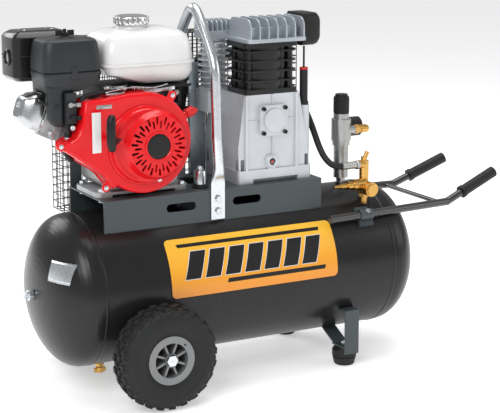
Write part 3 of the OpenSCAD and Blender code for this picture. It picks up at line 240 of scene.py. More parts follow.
slotOfNode = {s["node"]: s["material_slot"] for s in frame["record"]["subparts"] if "material_slot" in s}
for nodeName, node in frame["nodes"].items():
    for index, held in enumerate(node.material_slots):
        known = held.material.name.split(".")[0] if held.material else slotOfNode.get(nodeName)
        held.material = finishes.get(known) or finishes["steel"]
print("frame nodes finished:", len(frame["nodes"]))

camera = {"azimuth": -28.7, "elevation": 12.7, "lens": 116.4, "target": (78.5, 0, 398.6), "distance": 4.0643}
studio = {
    "floor": 60, "floorColour": (0.93, 0.93, 0.925), "glow": 0.42, "world": 0.42,
    # place in metres, side in metres, power in watts
    "lamps": [("keyLamp", (-3.2, -2.6, 3.4), 2.4, 120), ("topLamp", (0.3, 0.4, 4.2), 2.6, 90),
              ("fillLamp", (3.6, -2.6, 2.0), 2.2, 30), ("rimLamp", (-1.6, 3.6, 3.0), 2.2, 60)],
}


def setUpStudio():
    side, up = math.radians(camera["azimuth"]), math.radians(camera["elevation"])
    back = Vector((math.sin(side) * math.cos(up), -math.cos(side) * math.cos(up), math.sin(up)))
    data = bpy.data.cameras.new("camera")
    data.lens, data.sensor_width = camera["lens"], 36
    eye = bpy.data.objects.new("camera", data)
    eye.location = at(*camera["target"]) + back * camera["distance"]
    eye.rotation_mode = "QUATERNION"
    eye.rotation_quaternion = (-back).to_track_quat("-Z", "Y")
    bpy.context.scene.collection.objects.link(eye)
    bpy.context.scene.camera = eye
    for name, place, size, power in studio["lamps"]:
        lamp = bpy.data.lights.new(name, "AREA")
        lamp.size, lamp.energy = size, power
        holder = bpy.data.objects.new(name, lamp)
        holder.location = place
        holder.rotation_mode = "QUATERNION"
        holder.rotation_quaternion = (Vector((0, 0, 0.4)) - Vector(place)).to_track_quat("-Z", "Y")
        bpy.context.scene.collection.objects.link(holder)
    world = bpy.data.worlds.new("studioWorld")
    world.use_nodes = True
    world.node_tree.nodes["Background"].inputs[0].default_value = (1, 1, 1, 1)
    world.node_tree.nodes["Background"].inputs[1].default_value = studio["world"]
    bpy.context.scene.world = world
    bpy.context.scene.view_settings.view_transform = "Standard"
    bm = bmesh.new()
    bmesh.ops.create_grid(bm, x_segments=2, y_segments=2, size=studio["floor"] / 2)
    mesh = bpy.data.meshes.new("studioFloor")
    bm.to_mesh(mesh)
    bm.free()
    floor = bpy.data.objects.new("studioFloor", mesh)
    bpy.context.scene.collection.objects.link(floor)
    bench = NodeBench("floorPaper")
    place = bench.add("TexCoord").outputs["Object"]
    shade = bench.mix(bench.noise(place, 3.0), studio["floorColour"], tuple(c * 0.985 for c in studio["floorColour"]))
    bench.put(bench.shader.inputs["Base Color"], shade)
    bench.shader.inputs["Roughness"].default_value = 0.55
    bench.shader.inputs["Specular IOR Level"].default_value = 0.2
    bench.shader.inputs["Emission Color"].default_value = (1, 1, 1, 1)
    bench.shader.inputs["Emission Strength"].default_value = studio["glow"]
    mesh.materials.append(bench.material)


setUpStudio()
print("studio set up")


def pour(bm, part, matrix=None):
    # adds a finished part's mesh to bm and lets the part go
    if matrix is not None:
        bmesh.ops.transform(part, matrix=matrix, verts=part.verts)
    holder = bpy.data.meshes.new("holder")
    part.to_mesh(holder)
    part.free()
    bm.from_mesh(holder)
    bpy.data.meshes.remove(holder)


def towards(place, direction):
    # puts a shape made along Z at a place in mm, with its Z along the direction
    return Matrix.Translation(at(*place)) @ Vector(direction).to_track_quat("Z", "Y").to_matrix().to_4x4()


def addBlock(bm, low, high, bevel=0.0, segments=2, turn=None):
    part = bmesh.new()
    bmesh.ops.create_cube(part, size=1)
    low, high = at(*low), at(*high)
    bmesh.ops.scale(part, verts=part.verts, vec=high - low)
    if bevel:
        bmesh.ops.bevel(part, geom=part.edges[:], offset=bevel / 1000, segments=segments, profile=0.5, affect="EDGES",
                        material=-1)
    pour(bm, part, Matrix.Translation((low + high) / 2) @ (turn or Matrix.Identity(4)))


def addRod(bm, start, end, radius, endRadius=None, sides=32, bevel=0.0):
    part = bmesh.new()
    start, end = Vector(start), Vector(end)
    radii = (radius / 1000, (radius if endRadius is None else endRadius) / 1000)
    length = (end - start).length / 1000
    bmesh.ops.create_cone(part, cap_ends=True, segments=sides, radius1=radii[0], radius2=radii[1], depth=length)
    if bevel:
        rims = [e for e in part.edges if abs(e.verts[0].co.z - e.verts[1].co.z) < 1e-7]
        bmesh.ops.bevel(part, geom=rims, offset=bevel / 1000, segments=2, profile=0.5, affect="EDGES", material=-1)
    pour(bm, part, towards((start + end) / 2, end - start))


def addTurned(bm, profile, place, direction, steps=48, closed=False):
    # profile: (radius, height) in mm, turned about the direction through the place
    part = bmesh.new()
    chain = [part.verts.new((max(r, 0.0) / 1000, 0, h / 1000)) for r, h in profile]
    edges = [part.edges.new(pair) for pair in zip(chain, chain[1:] + (chain[:1] if closed else []))
             if pair[0] is not pair[1]]
    bmesh.ops.spin(part, geom=chain + edges, cent=(0, 0, 0), axis=(0, 0, 1), angle=math.tau, steps=steps,
                   use_merge=True)
    bmesh.ops.remove_doubles(part, verts=part.verts, dist=1e-6)
    pour(bm, part, towards(place, direction))


def addLoft(bm, rings, matrix=None, corner=8):
    # rings: (height, centre x, centre y, half x, half y, corner radius) in mm, closed at both ends
    part = bmesh.new()
    loops = []
    for height, cx, cy, hx, hy, r in rings:
        circle = bmesh.ops.create_circle(part, segments=4 * corner, radius=1)["verts"]
        for index, v in enumerate(circle):
            quarter, step = divmod(index, corner)
            angle = math.radians(90 * quarter + 90 * step / (corner - 1))
            sx, sy = ((1, 1), (-1, 1), (-1, -1), (1, -1))[quarter]
            v.co = Vector((cx + sx * (hx - r) + r * math.cos(angle), cy + sy * (hy - r) + r * math.sin(angle),
                           height)) / 1000
        loops.append(list({e for v in circle for e in v.link_edges}))
    for lower, upper in zip(loops, loops[1:]):
        bmesh.ops.bridge_loops(part, edges=lower + upper)
    bmesh.ops.contextual_create(part, geom=loops[0])
    bmesh.ops.contextual_create(part, geom=loops[-1])
    pour(bm, part, matrix or Matrix.Translation((middleX, 0, 0)))


def smoothPath(points, steps=6):
    # a Catmull-Rom line through the points
    points = [Vector(p) for p in points]
    line = []
    for i in range(len(points) - 1):
        p0, p1, p2, p3 = (points[max(0, min(len(points) - 1, k))] for k in (i - 1, i, i + 1, i + 2))
        for k in range(steps):
            t = k / steps
            line.append(0.5 * (2 * p1 + (p2 - p0) * t + (2 * p0 - 5 * p1 + 4 * p2 - p3) * t * t
                               + (3 * p1 - p0 - 3 * p2 + p3) * t ** 3))
    return line + [points[-1]]


def addPipe(bm, points, radius, sides=12, matrix=None):
    # a round tube along a line of points in mm
    curve = bpy.data.curves.new("route", "CURVE")
    curve.dimensions, curve.bevel_depth, curve.bevel_resolution = "3D", radius / 1000, max(1, sides // 4 - 1)
    curve.use_fill_caps = True
    spline = curve.splines.new("POLY")
    spline.points.add(len(points) - 1)
    for target, p in zip(spline.points, points):
        target.co = (*(at(*p) if matrix is None else Vector(p) / 1000), 1)
    holder = bpy.data.objects.new("route", curve)
    mesh = bpy.data.meshes.new_from_object(holder)
    part = bmesh.new()
    part.from_mesh(mesh)
    bpy.data.objects.remove(holder)
    bpy.data.curves.remove(curve)
    bpy.data.meshes.remove(mesh)
    bmesh.ops.remove_doubles(part, verts=part.verts, dist=1e-6)
    pour(bm, part, matrix)


def addBolt(bm, place, direction, size, height, washer=True, socket=False):
    # a hexagon head on a washer, or a round head with a socket
    way = Vector(direction).normalized()
    foot = Vector(place)
    if washer:
        addRod(bm, foot, foot + way * 1.2, size * 1.35, sides=24, bevel=0.3)
        foot = foot + way * 1.2
    if socket:
        addTurned(bm, [(0, 0), (size, 0), (size, height - 0.5), (size - 0.6, height), (size * 0.55, height),
                       (size * 0.5, height * 0.4), (0, height * 0.4)], foot, way, steps=20)
    else:
        addRod(bm, foot, foot + way * height, size, sides=6, bevel=size * 0.08)
        addRod(bm, foot + way * (height - 0.3), foot + way * (height + 0.5), size * 0.72, size * 0.62, sides=20)


def keep(bm, name, body, slot, *stands, angle=35, finish=None):
    bmesh.ops.remove_doubles(bm, verts=bm.verts, dist=1e-6)
    bmesh.ops.recalc_face_normals(bm, faces=bm.faces)
    mesh = bpy.data.meshes.new(name)
    bm.to_mesh(mesh)
    bm.free()
    for face in mesh.polygons:
        face.use_smooth = True
    mesh.set_sharp_from_angle(angle=math.radians(angle))
    mesh.materials.append(finish or finishes[slot])
    piece = bpy.data.objects.new(name, mesh)
    bpy.context.scene.collection.objects.link(piece)
    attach(piece, body)
    if stands:
        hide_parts(*stands)
    return piece


wheel = {
    "x": -274, "y": 234, "radius": 125,
    "section": [(46.6, 31), (59, 31), (59.6, 34.5), (64, 38), (72, 39.8), (98, 39.4), (106, 37.6), (112, 33.5),
                (116, 27), (118, 14), (118.4, 0)],
    "pitches": 24,
    # each knob: distance from the middle, half width, half length, low and high radius, turn, step round in pitches
    "knobs": [(7.5, 6.2, 8.5, 115, 124.6, 18, 0.0), (-7.5, 6.2, 8.5, 115, 124.6, -18, 0.5),
              (22.5, 6.0, 9.5, 112, 122.2, -12, 0.35), (-22.5, 6.0, 9.5, 112, 122.2, 12, 0.85),
              (33.5, 3.8, 8.0, 104, 114.5, 0, 0.85), (-33.5, 3.8, 8.0, 104, 114.5, 0, 0.35)],
    "ribs": [(66, 39.0), (92, 39.6)],
    "cap": [(0, 40), (6, 39.6), (11, 38), (14.5, 35.2), (16, 31), (16.4, 27)],
}


def knobMesh(halfWidth, halfLength, low, high):
    part = bmesh.new()
    bmesh.ops.create_cube(part, size=2)
    for v in part.verts:
        top = v.co.z > 0
        v.co = (v.co.x * halfLength * (0.84 if top else 1) / 1000, v.co.y * halfWidth * (0.84 if top else 1) / 1000,
                (high if top else low) / 1000)
    bmesh.ops.bevel(part, geom=[e for e in part.edges if e.verts[0].co.z + e.verts[1].co.z > 1.99 * high / 1000],
                    offset=0.0009, segments=1, profile=0.5, affect="EDGES", material=-1)
    return part


def makeWheel(name, side):
    hub = (wheel["x"], side * wheel["y"], wheel["radius"])
    out = (0, side, 0)
    section = wheel["section"]
    bm = bmesh.new()
    addTurned(bm, section + [(r, -h) for r, h in section[-2::-1]], hub, out, steps=72, closed=True)
    for radius, height in wheel["ribs"]:
        for s in (-1, 1):
            addTurned(bm, [(radius - 1.2, s * (height - 1)), (radius, s * (height + 0.7)),
                           (radius + 1.2, s * (height - 1))],
                      hub, out, steps=72, closed=True)
    for away, halfWidth, halfLength, low, high, turn, step in wheel["knobs"]:
        for k in range(wheel["pitches"]):
            angle = (k + step) * math.tau / wheel["pitches"]
            matrix = (Matrix.Translation(at(*hub)) @ Matrix.Rotation(angle, 4,
                                                                     "Y") @ Matrix.Translation((0, away / 1000, 0))
                      @ Matrix.Rotation(math.radians(turn), 4, "Z"))
            pour(bm, knobMesh(halfWidth, halfLength, low, high), matrix)
    body = "wheel_" + name
    keep(bm, "tyreTread_" + name, body, "tyre", "tyre_" + name)
    bm = bmesh.new()
    addTurned(bm, wheel["cap"], hub, out, steps=40)
    keep(bm, "hubCap_" + name, body, "black_plastic")
    bm = bmesh.new()
    stem = Vector(hub) + Vector((34, 0, 34))
    addRod(bm, stem + Vector((0, side * 24, 0)), stem + Vector((0, side * 37, 0)), 2.6, sides=16, bevel=0.5)
    keep(bm, "airValve_" + name, body, "black_rubber")


makeWheel("front", -1)
makeWheel("rear", 1)
print("wheels made")

fuelTank = {
    "x": -220.5, "y": 12,
    # height, shift along x, half length, half depth, corner radius
    "rings": [(738, 40, 62, 60, 24), (742, 37, 70, 66, 26), (752, 20, 92, 74, 28), (764, 4, 112, 80, 29),
              (778, 0, 114.5, 82, 29), (783, 0, 115, 83, 29), (783.6, 0, 119.5, 88, 32), (788.4, 0, 119.5, 88, 32),
              (789, 0, 115.5, 84, 29), (806, 0, 115, 83.5, 29), (830, 0, 111, 80, 29), (846, 0, 106, 75, 30),
              (854, 0, 99, 67, 29), (860, 0, 88, 56, 28), (864.5, 0, 72, 42, 24), (866.6, 0, 50, 26, 18),
              (867, 0, 20, 12, 10)],
    "cap": (-237, 8), "capRadius": 41, "flutes": 18,
}


def makeFuelTank():
    bm = bmesh.new()
    addLoft(bm, [(h, fuelTank["x"] + dx, fuelTank["y"], hx, hy, r) for h, dx, hx, hy, r in fuelTank["rings"]],
            corner=12)
    cx, cy = fuelTank["cap"]
    addTurned(bm, [(0, 860), (40, 860), (38, 868), (36, 870), (36, 871.8), (0, 871.8)], (cx, cy, 0), (0, 0, 1))
    keep(bm, "fuelTankShell", "chassis", "fuel_tank_white", "fuel_tank", angle=32)
    bm = bmesh.new()
    r = fuelTank["capRadius"]
    addTurned(bm, [(0, 872.4), (r - 1, 872.4), (r, 873.5), (r, 876), (r - 1.5, 877.5), (r - 1.5, 889), (r - 3, 892.5),
                   (r - 9, 894.2), (r - 14, 893.4), (12, 893.8), (0, 894.4)], (cx, cy, 0), (0, 0, 1), steps=60)
    keep(bm, "fuelCapTop", "cap", "chrome", "fuel_cap")
    bm = bmesh.new()
    for k in range(fuelTank["flutes"]):
        angle = k * math.tau / fuelTank["flutes"]
        foot = Vector((cx + (r - 3.4) * math.cos(angle), cy + (r - 3.4) * math.sin(angle), 876))
        addRod(bm, foot, foot + Vector((0, 0, 15.5)), 5.2, 4.6, sides=16, bevel=1.4)
    keep(bm, "fuelCapFlutes", "cap", "chrome")


makeFuelTank()

airCleaner = {
    "x": -420, "y": -26,
    "cover": [(781.2, 70, 53, 20), (783, 72, 55, 21), (796, 72, 55, 22), (826, 69.5, 52.5, 22), (844, 67, 50, 22),
              (850.5, 64, 47, 21), (854.5, 57, 40, 18), (856.3, 44, 29, 14), (856.9, 16, 12, 6)],
    "base": [(735, 63, 46, 16), (738, 66, 49, 18), (742, 67.5, 50.5, 18), (768, 70, 53, 19), (772, 72, 55, 20),
             (778.5, 72, 55, 20), (780.4, 70, 53, 20)],
}


def makeAirCleaner():
    x, y = airCleaner["x"], airCleaner["y"]
    bm = bmesh.new()
    addLoft(bm, [(h, x, y, hx, hy, r) for h, hx, hy, r in airCleaner["cover"]], corner=10)
    addTurned(bm, [(0, 854), (17, 855), (15.5, 857.4), (10, 858.2), (0, 858.2)], (x, y, 0), (0, 0, 1))
    keep(bm, "airCleanerCover", "chassis", "housing_plastic", "air_filter_cover", angle=30)
    bm = bmesh.new()
    addLoft(bm, [(h, x, y, hx, hy, r) for h, hx, hy, r in airCleaner["base"]], corner=10)
    # cut away at a slant over the carburettor
    cut = bmesh.ops.bisect_plane(bm, geom=bm.verts[:] + bm.edges[:] + bm.faces[:], plane_co=at(-408, 0, 735),
                                 plane_no=(0.42, 0, -0.9), clear_outer=True)["geom_cut"]
    bmesh.ops.contextual_create(bm, geom=[e for e in cut if isinstance(e, bmesh.types.BMEdge)])
    # elbow duct down to the carburettor
    duct = [(748, -466, -66, 20, 12, 9), (700, -466, -66, 20, 12, 9), (676, -465, -66, 19, 12, 9),
            (664, -461, -66, 15, 11, 8),
            (657, -456, -66, 9, 8, 6)]
    addLoft(bm, [(h, cx, cy, hx, hy, r) for h, cx, cy, hx, hy, r in duct], corner=8)
    for s in (-1, 1):   # clips over the seam
        addBlock(bm, (x - 8, y + s * 54 - 3, 764), (x + 8, y + s * 54 + 3, 795), bevel=2)
    keep(bm, "airCleanerBase", "chassis", "housing_plastic", "air_filter_base", angle=30)


makeAirCleaner()

muffler = {
    "x": -450, "y": 81,
    "rings": [(749, 60, 35, 12), (752, 65, 40, 13), (760, 72, 47, 16), (851, 72, 47, 16), (859, 66, 41, 14),
              (864.5, 56, 33, 12), (866, 46, 25, 10)],
    "outlet": (-522, 76, 804),
}


def makeMuffler():
    x, y = muffler["x"], muffler["y"]
    bm = bmesh.new()
    addLoft(bm, [(h, x, y, hx, hy, r) for h, hx, hy, r in muffler["rings"]], corner=5)
    # a rolled seam round the shell, and the pipe from the engine
    addLoft(bm, [(804, x, y, 71, 46, 16), (805, x, y, 73.2, 48.2, 17), (809, x, y, 73.2, 48.2, 17),
                 (810, x, y, 71, 46, 16)],
            corner=5)
    addTurned(bm, [(14, -2), (20, -2), (20, 3.4), (18.4, 5), (16, 5), (15, 3.4), (15, -2)], muffler["outlet"],
              (-1, 0, 0),
              closed=True)
    addBlock(bm, (-462, 54.5, 697), (-432, 84, 752), bevel=7, segments=3)
    keep(bm, "mufflerShell", "chassis", "muffler_black", "muffler", angle=25)
    bm = bmesh.new()
    for dx, dy in ((-34, -18), (34, -18), (34, 18), (-34, 18)):
        addBolt(bm, (x + dx, y + dy, 864.6), (0, 0, 1), 3.6, 2.2, washer=False)
    keep(bm, "mufflerBolts", "chassis", "steel")
    bm = bmesh.new()
    addTurned(bm, [(0, 1.6), (8, 1.6), (13, 0.6), (14.9, -1.4), (14.9, -2)], muffler["outlet"], (-1, 0, 0))
    keep(bm, "mufflerBaffle", "chassis", "steel")


makeMuffler()
print("fuel tank, air cleaner and muffler made")

engine = {
    "switchTurn": 65,
    "crank": (-243, 605), "shroud": (-259, 608), "shroudRadius": 119, "front": -112, "back": -52,
    # outline of the wedge beside the round part, clockwise from its top
    "wedge": [(-249, 727), (-300, 726), (-343, 720), (-404, 716), (-409, 712), (-414, 668), (-421, 648), (-430, 634),
              (-456, 622), (-460, 615), (-458, 604), (-440, 592), (-372, 544), (-364, 537), (-352, 520), (-341, 507)],
    "roundFrom": 233, "roundTo": 444, "starter": (-261, 605), "starterRadius": 94, "grilleRadius": 75,
    "grilleFront": -148, "slots": 36,
    "tabs": [(-470, 618, 10), (-361, 512, 10), (-188, 716, 10)],
    "starterBolts": [(-180, 651), (-345, 640), (-227, 520)],
}


def flatLoop(bm, points, y):
    # a closed ring of edges through (x, z) points at one depth
    verts = [bm.verts.new(at(x, y, z)) for x, z in points]
    return [bm.edges.new((a, b)) for a, b in zip(verts, verts[1:] + verts[:1])]


def grownOutline(points, amount):
    # moves each corner of an outline out along the mean of its two sides' normals
    middle = sum((Vector(p) for p in points), Vector((0, 0))) / len(points)
    grown = []
    for i, p in enumerate(points):
        a, b = Vector(points[i - 1]), Vector(points[(i + 1) % len(points)])
        along = (b - a).normalized()
        out = Vector((along.y, -along.x))
        if out.dot(Vector(p) - middle) < 0:
            out = -out
        grown.append(tuple(Vector(p) + out * amount))
    return grown


def makeShroud():
    sx, sz = engine["shroud"]
    r = engine["shroudRadius"]
    outline = engine["wedge"] + [(sx + r * math.cos(math.radians(a)), sz + r * math.sin(math.radians(a)))
                                 for a in range(engine["roundFrom"], engine["roundTo"], 5)]
    front, back = engine["front"], engine["back"]
    bm = bmesh.new()
    # from the opening for the fan out to the rim, round it, and back along the inside
    cx, cz = engine["starter"]
    hole = [(cx + 85 * math.cos(a), cz + 85 * math.sin(a)) for a in (k * math.tau / 64 for k in range(64))]
    steps = [(grownOutline(outline, -8), front), (grownOutline(outline, -6.2), front - 0.2),
             (grownOutline(outline, -3), front + 1.2), (grownOutline(outline, -0.8), front + 3.4), (outline, front + 7),
             (outline, back - 5), (grownOutline(outline, 2.0), back - 4.6), (grownOutline(outline, 2.0), back),
             (grownOutline(outline, -3), back), (grownOutline(outline, -3), front + 8),
             (grownOutline(outline, -7), front + 3)]
    loops = [flatLoop(bm, points, y) for points, y in steps]
    for a, b in zip(loops, loops[1:]):
        bmesh.ops.bridge_loops(bm, edges=a + b)
    outer, inner = flatLoop(bm, hole, front), flatLoop(bm, hole, front + 3)
    bmesh.ops.bridge_loops(bm, edges=outer + inner)
    for a, b in ((outer, loops[0]), (inner, loops[-1])):
        bmesh.ops.triangle_fill(bm, edges=a + b, use_beauty=True)
    # tabs for the bolts, and a raised step along the lower left edge
    for x, z, size in engine["tabs"]:
        inward = Vector((sx, 0, sz)) - Vector((x, 0, z))
        addRod(bm, (x, front + 7, z), (x, front + 1, z), size, sides=24, bevel=1)
        addBlock(bm, (x - size, front + 1.5, z - 14), (x + size, front + 7, z + 14), bevel=1.5, turn=Matrix.Translation(
            inward.normalized() * 0.011) @ Matrix.Rotation(math.atan2(inward.x, inward.z), 4, "Y"))
    addPipe(bm, smoothPath([(-446, front + 3, 604), (-410, front + 2.4, 579), (-380, front + 2.4, 558),
                            (-366, front + 2.6, 545)], 4),
            3.2)
    # a boss that carries the stop switch
    turn = Matrix.Rotation(math.radians(engine["switchTurn"]), 4, "Y")
    way = turn @ Vector((0, 0, 1))
    foot = Vector((sx, -84, sz))
    addRod(bm, foot + way * 112, foot + way * 131, 10, 9, sides=28, bevel=1)
    keep(bm, "fanShroudShell", "chassis", "engine_red", "fan_shroud", angle=30)
    bm = bmesh.new()
    for x, z, size in engine["tabs"]:
        addBolt(bm, (x, front + 1, z), (0, -1, 0), 4.2, 4)
    for x, z in engine["starterBolts"]:
        addBolt(bm, (x, front - 4.6, z), (0, -1, 0), 4.2, 4)
    keep(bm, "shroudBolts", "chassis", "zinc")
    # breather hose over the top of the shroud
    bm = bmesh.new()
    addPipe(bm, smoothPath([(-404, -86, 712), (-403, -84, 722), (-372, -82, 729), (-330, -82, 731),
                            (-300, -82, 734), (-292, -78, 742)]), 5.5)
    keep(bm, "breatherHose", "chassis", "black_rubber")


def makeStarter():
    cx, cz = engine["starter"]
    ex, ez = engine["crank"]
    front, face = engine["front"], engine["grilleFront"]
    bm = bmesh.new()
    out = (0, -1, 0)
    r = engine["starterRadius"]
    # heights run out from y = 0 towards the front
    addTurned(bm, [(52, 112.3), (r - 1, 112.3), (r, 113.3), (r, 116), (r - 1.2, 117.2), (r - 4, 117.4), (r - 7, 126),
                   (r - 9, 129), (r - 12, 130), (52, 130)], (cx, 0, cz), out, steps=96, closed=True)
    # louvres pressed into the outer disc
    for turnFrom, turnTo in ((200, 250), (110, 160), (285, 320)):
        for radius, height in ((78.5, 130.2), (82, 129.8), (85.5, 127.6)):
            points = [(cx + radius * math.cos(math.radians(a)), -height, cz + radius * math.sin(math.radians(a)))
                      for a in range(turnFrom, turnTo + 1, 3)]
            addPipe(bm, points, 1.15, sides=8)
    # the grille stands off the disc: side wall with its shoulder, then the slotted face
    g = engine["grilleRadius"]
    addTurned(bm, [(g - 6, 127), (g + 9, 127), (g + 5.5, 131), (g + 2, 136), (g - 0.5, 141), (g - 2, 145),
                   (g - 3.4, 147.2),
                   (g - 5.4, 147.9), (g - 6, 144.8)], (ex, 0, ez), out, steps=72, closed=True)
    part = bmesh.new()
    radii = [34, 38, 42.5, 52, 60, 69.2, g - 4.8]
    chain = [part.verts.new((r / 1000, 0, 0)) for r in radii]
    edges = [part.edges.new(pair) for pair in zip(chain, chain[1:])]
    bmesh.ops.spin(part, geom=chain + edges, cent=(0, 0, 0), axis=(0, 0, 1), angle=math.tau, steps=2 * engine["slots"],
                   use_merge=True)
    gone = []
    for cellFace in part.faces:
        middle = cellFace.calc_center_median()
        radius = middle.length * 1000
        cell = int((math.atan2(middle.y, middle.x) % math.tau) / (math.tau / (2 * engine["slots"])))
        inner, outer = 42.5 < radius < 60, 52 < radius < 69
        if (inner and cell % 4 == 0) or (outer and cell % 4 == 2):
            gone.append(cellFace)
    bmesh.ops.delete(part, geom=gone, context="FACES")
    bmesh.ops.recalc_face_normals(part, faces=part.faces)
    bmesh.ops.solidify(part, geom=part.faces[:], thickness=0.003)
    pour(bm, part, towards((ex, -147.4, ez), out))
    addTurned(bm, [(30, 145), (35, 145), (35, 150.4), (33.8, 151.2), (31.5, 151.2), (30, 150)], (ex, 0, ez), out,
              closed=True)
    keep(bm, "starterCover", "chassis", "engine_red", "starter_housing", angle=32)
    bm = bmesh.new()
    addTurned(bm, [(0, 149.4), (20, 149.6), (28, 149.2), (31, 148), (31, 146), (0, 146)], (ex, 0, ez), out)
    addTurned(bm, [(0, 128), (72, 128), (72, 126), (0, 126)], (ex, 0, ez), out)
    keep(bm, "starterBadge", "chassis", "black_plastic")


def makeGrip():
    gx, gy, gz = -363, -152, 646
    bm = bmesh.new()
    part = bmesh.new()
    profile = [(0, -43), (5, -42.4), (8.6, -39), (10.4, -30), (10.8, -12), (10.8, 12), (10.4, 30), (8.6, 39),
               (5, 42.4), (0, 43)]
    chain = [part.verts.new((r / 1000, 0, h / 1000)) for r, h in profile]
    edges = [part.edges.new(pair) for pair in zip(chain, chain[1:])]
    bmesh.ops.spin(part, geom=chain + edges, cent=(0, 0, 0), axis=(0, 0, 1), angle=math.tau, steps=28, use_merge=True)
    bmesh.ops.subdivide_edges(part, edges=[e for e in part.edges if e.calc_length() > 0.009], cuts=2)
    for v in part.verts:   # the bar bows away from the rope
        v.co.x -= 0.0045 * (1 - (v.co.z / 0.043) ** 2) - 0.002
    turn = Matrix.Rotation(math.radians(35), 4, "Z")
    pour(bm, part, Matrix.Translation(at(gx, gy, gz)) @ turn)
    way = turn.to_3x3() @ Vector((1, 0, 0))
    foot = Vector((gx, gy, gz - 20))
    addTurned(bm, [(0, 2), (11.5, 2), (11.5, 6), (9.2, 12), (7.6, 18), (7.2, 24), (3, 24.4), (0, 24.4)], foot, way,
              steps=24)
    keep(bm, "starterGripBar", "pull_grip", "black_plastic", "starter_grip")


makeShroud()
makeStarter()
makeGrip()
print("engine cowling made")

rockerCover = {
    "slant": 18, "middle": 4,
    # distance out from the crank, half height, half depth, corner radius
    "rings": [(246, 45, 43, 20), (251, 45, 43, 20), (252, 42.5, 40.5, 19), (270, 42, 40, 20), (281, 38, 36, 19),
              (289, 31, 30, 16), (296, 27, 26, 13), (300, 22, 21, 11)],
    "flangeBolts": [(-34, -30), (34, -30), (34, 38), (-34, 38)],
}


def makeRockerCover():
    ex, ez = engine["crank"]
    slanted = Matrix.Translation(at(ex, 0, ez)) @ Matrix.Rotation(math.radians(rockerCover["slant"]), 4, "Y")
    outward = slanted @ Matrix.Rotation(math.radians(-90), 4, "Y")
    bm = bmesh.new()
    addLoft(bm, [(h, 0, rockerCover["middle"], hx, hy, r) for h, hx, hy, r in rockerCover["rings"]], outward, corner=5)
    keep(bm, "rockerCover", "chassis", "cast_aluminium", "valve_cover", angle=20, finish=finishes["polished_cover"])

    def spot(out, up, across):   # a place on the slanted cylinder, in mm from the receiver's middle
        p = slanted @ Vector((-out / 1000, across / 1000, up / 1000))
        return Vector(((p.x - middleX) * 1000, p.y * 1000, p.z * 1000))
    away = spot(1, 0, 0) - spot(0, 0, 0)
    bm = bmesh.new()
    addBolt(bm, spot(299, 6, 4), away, 5.5, 4)
    for up, across in rockerCover["flangeBolts"]:
        addBolt(bm, spot(251, up, across), away, 3.6, 3, washer=False)
    for out, up in ((112, -44), (112, 40), (228, -36)):
        addBolt(bm, spot(out, up, -50), (0, -1, 0), 4.5, 4)
    keep(bm, "cylinderBolts", "chassis", "zinc")
    # spark plug with its cap and lead
    bm = bmesh.new()
    plug = spot(236, 24, -44)
    addTurned(bm, [(0, 0), (8, 0), (8, 4), (6, 6), (6, 14), (4, 16), (0, 16)], plug, (-0.2, -1, 0.1), steps=20)
    keep(bm, "sparkPlug", "chassis", "brass")
    bm = bmesh.new()
    cap = plug + Vector((-3, -14, 2))
    addTurned(bm, [(0, -2), (8.5, -2), (8.5, 10), (6.5, 14), (6.5, 22), (0, 24)], cap, (-0.25, -1, 0.25), steps=20)
    lead = smoothPath([cap + Vector((-4, -18, 6)), (-506, -66, 716), (-500, -58, 728), (-470, -50, 733),
                       (-448, -46, 728),
                       (-440, -46, 712)], 5)
    addPipe(bm, lead, 3.4)
    keep(bm, "sparkLead", "chassis", "black_rubber")
    bm = bmesh.new()   # drain elbow and pipe below the carburettor
    addPipe(bm, smoothPath([(-437, -70, 636), (-440, -70, 622), (-446, -68, 606), (-438, -64, 588),
                            (-424, -60, 572)], 5), 6)
    addRod(bm, (-437, -70, 631), (-437, -70, 642), 8.6, sides=6, bevel=0.6)
    keep(bm, "breatherPipeLow", "chassis", "black_rubber")


clutter = {
    # small parts between the engine and its fuel tank: flat bars and springs
    "springs": [((-352, -84, 741), (-296, -84, 735)), ((-284, -88, 737), (-214, -88, 728))],
}


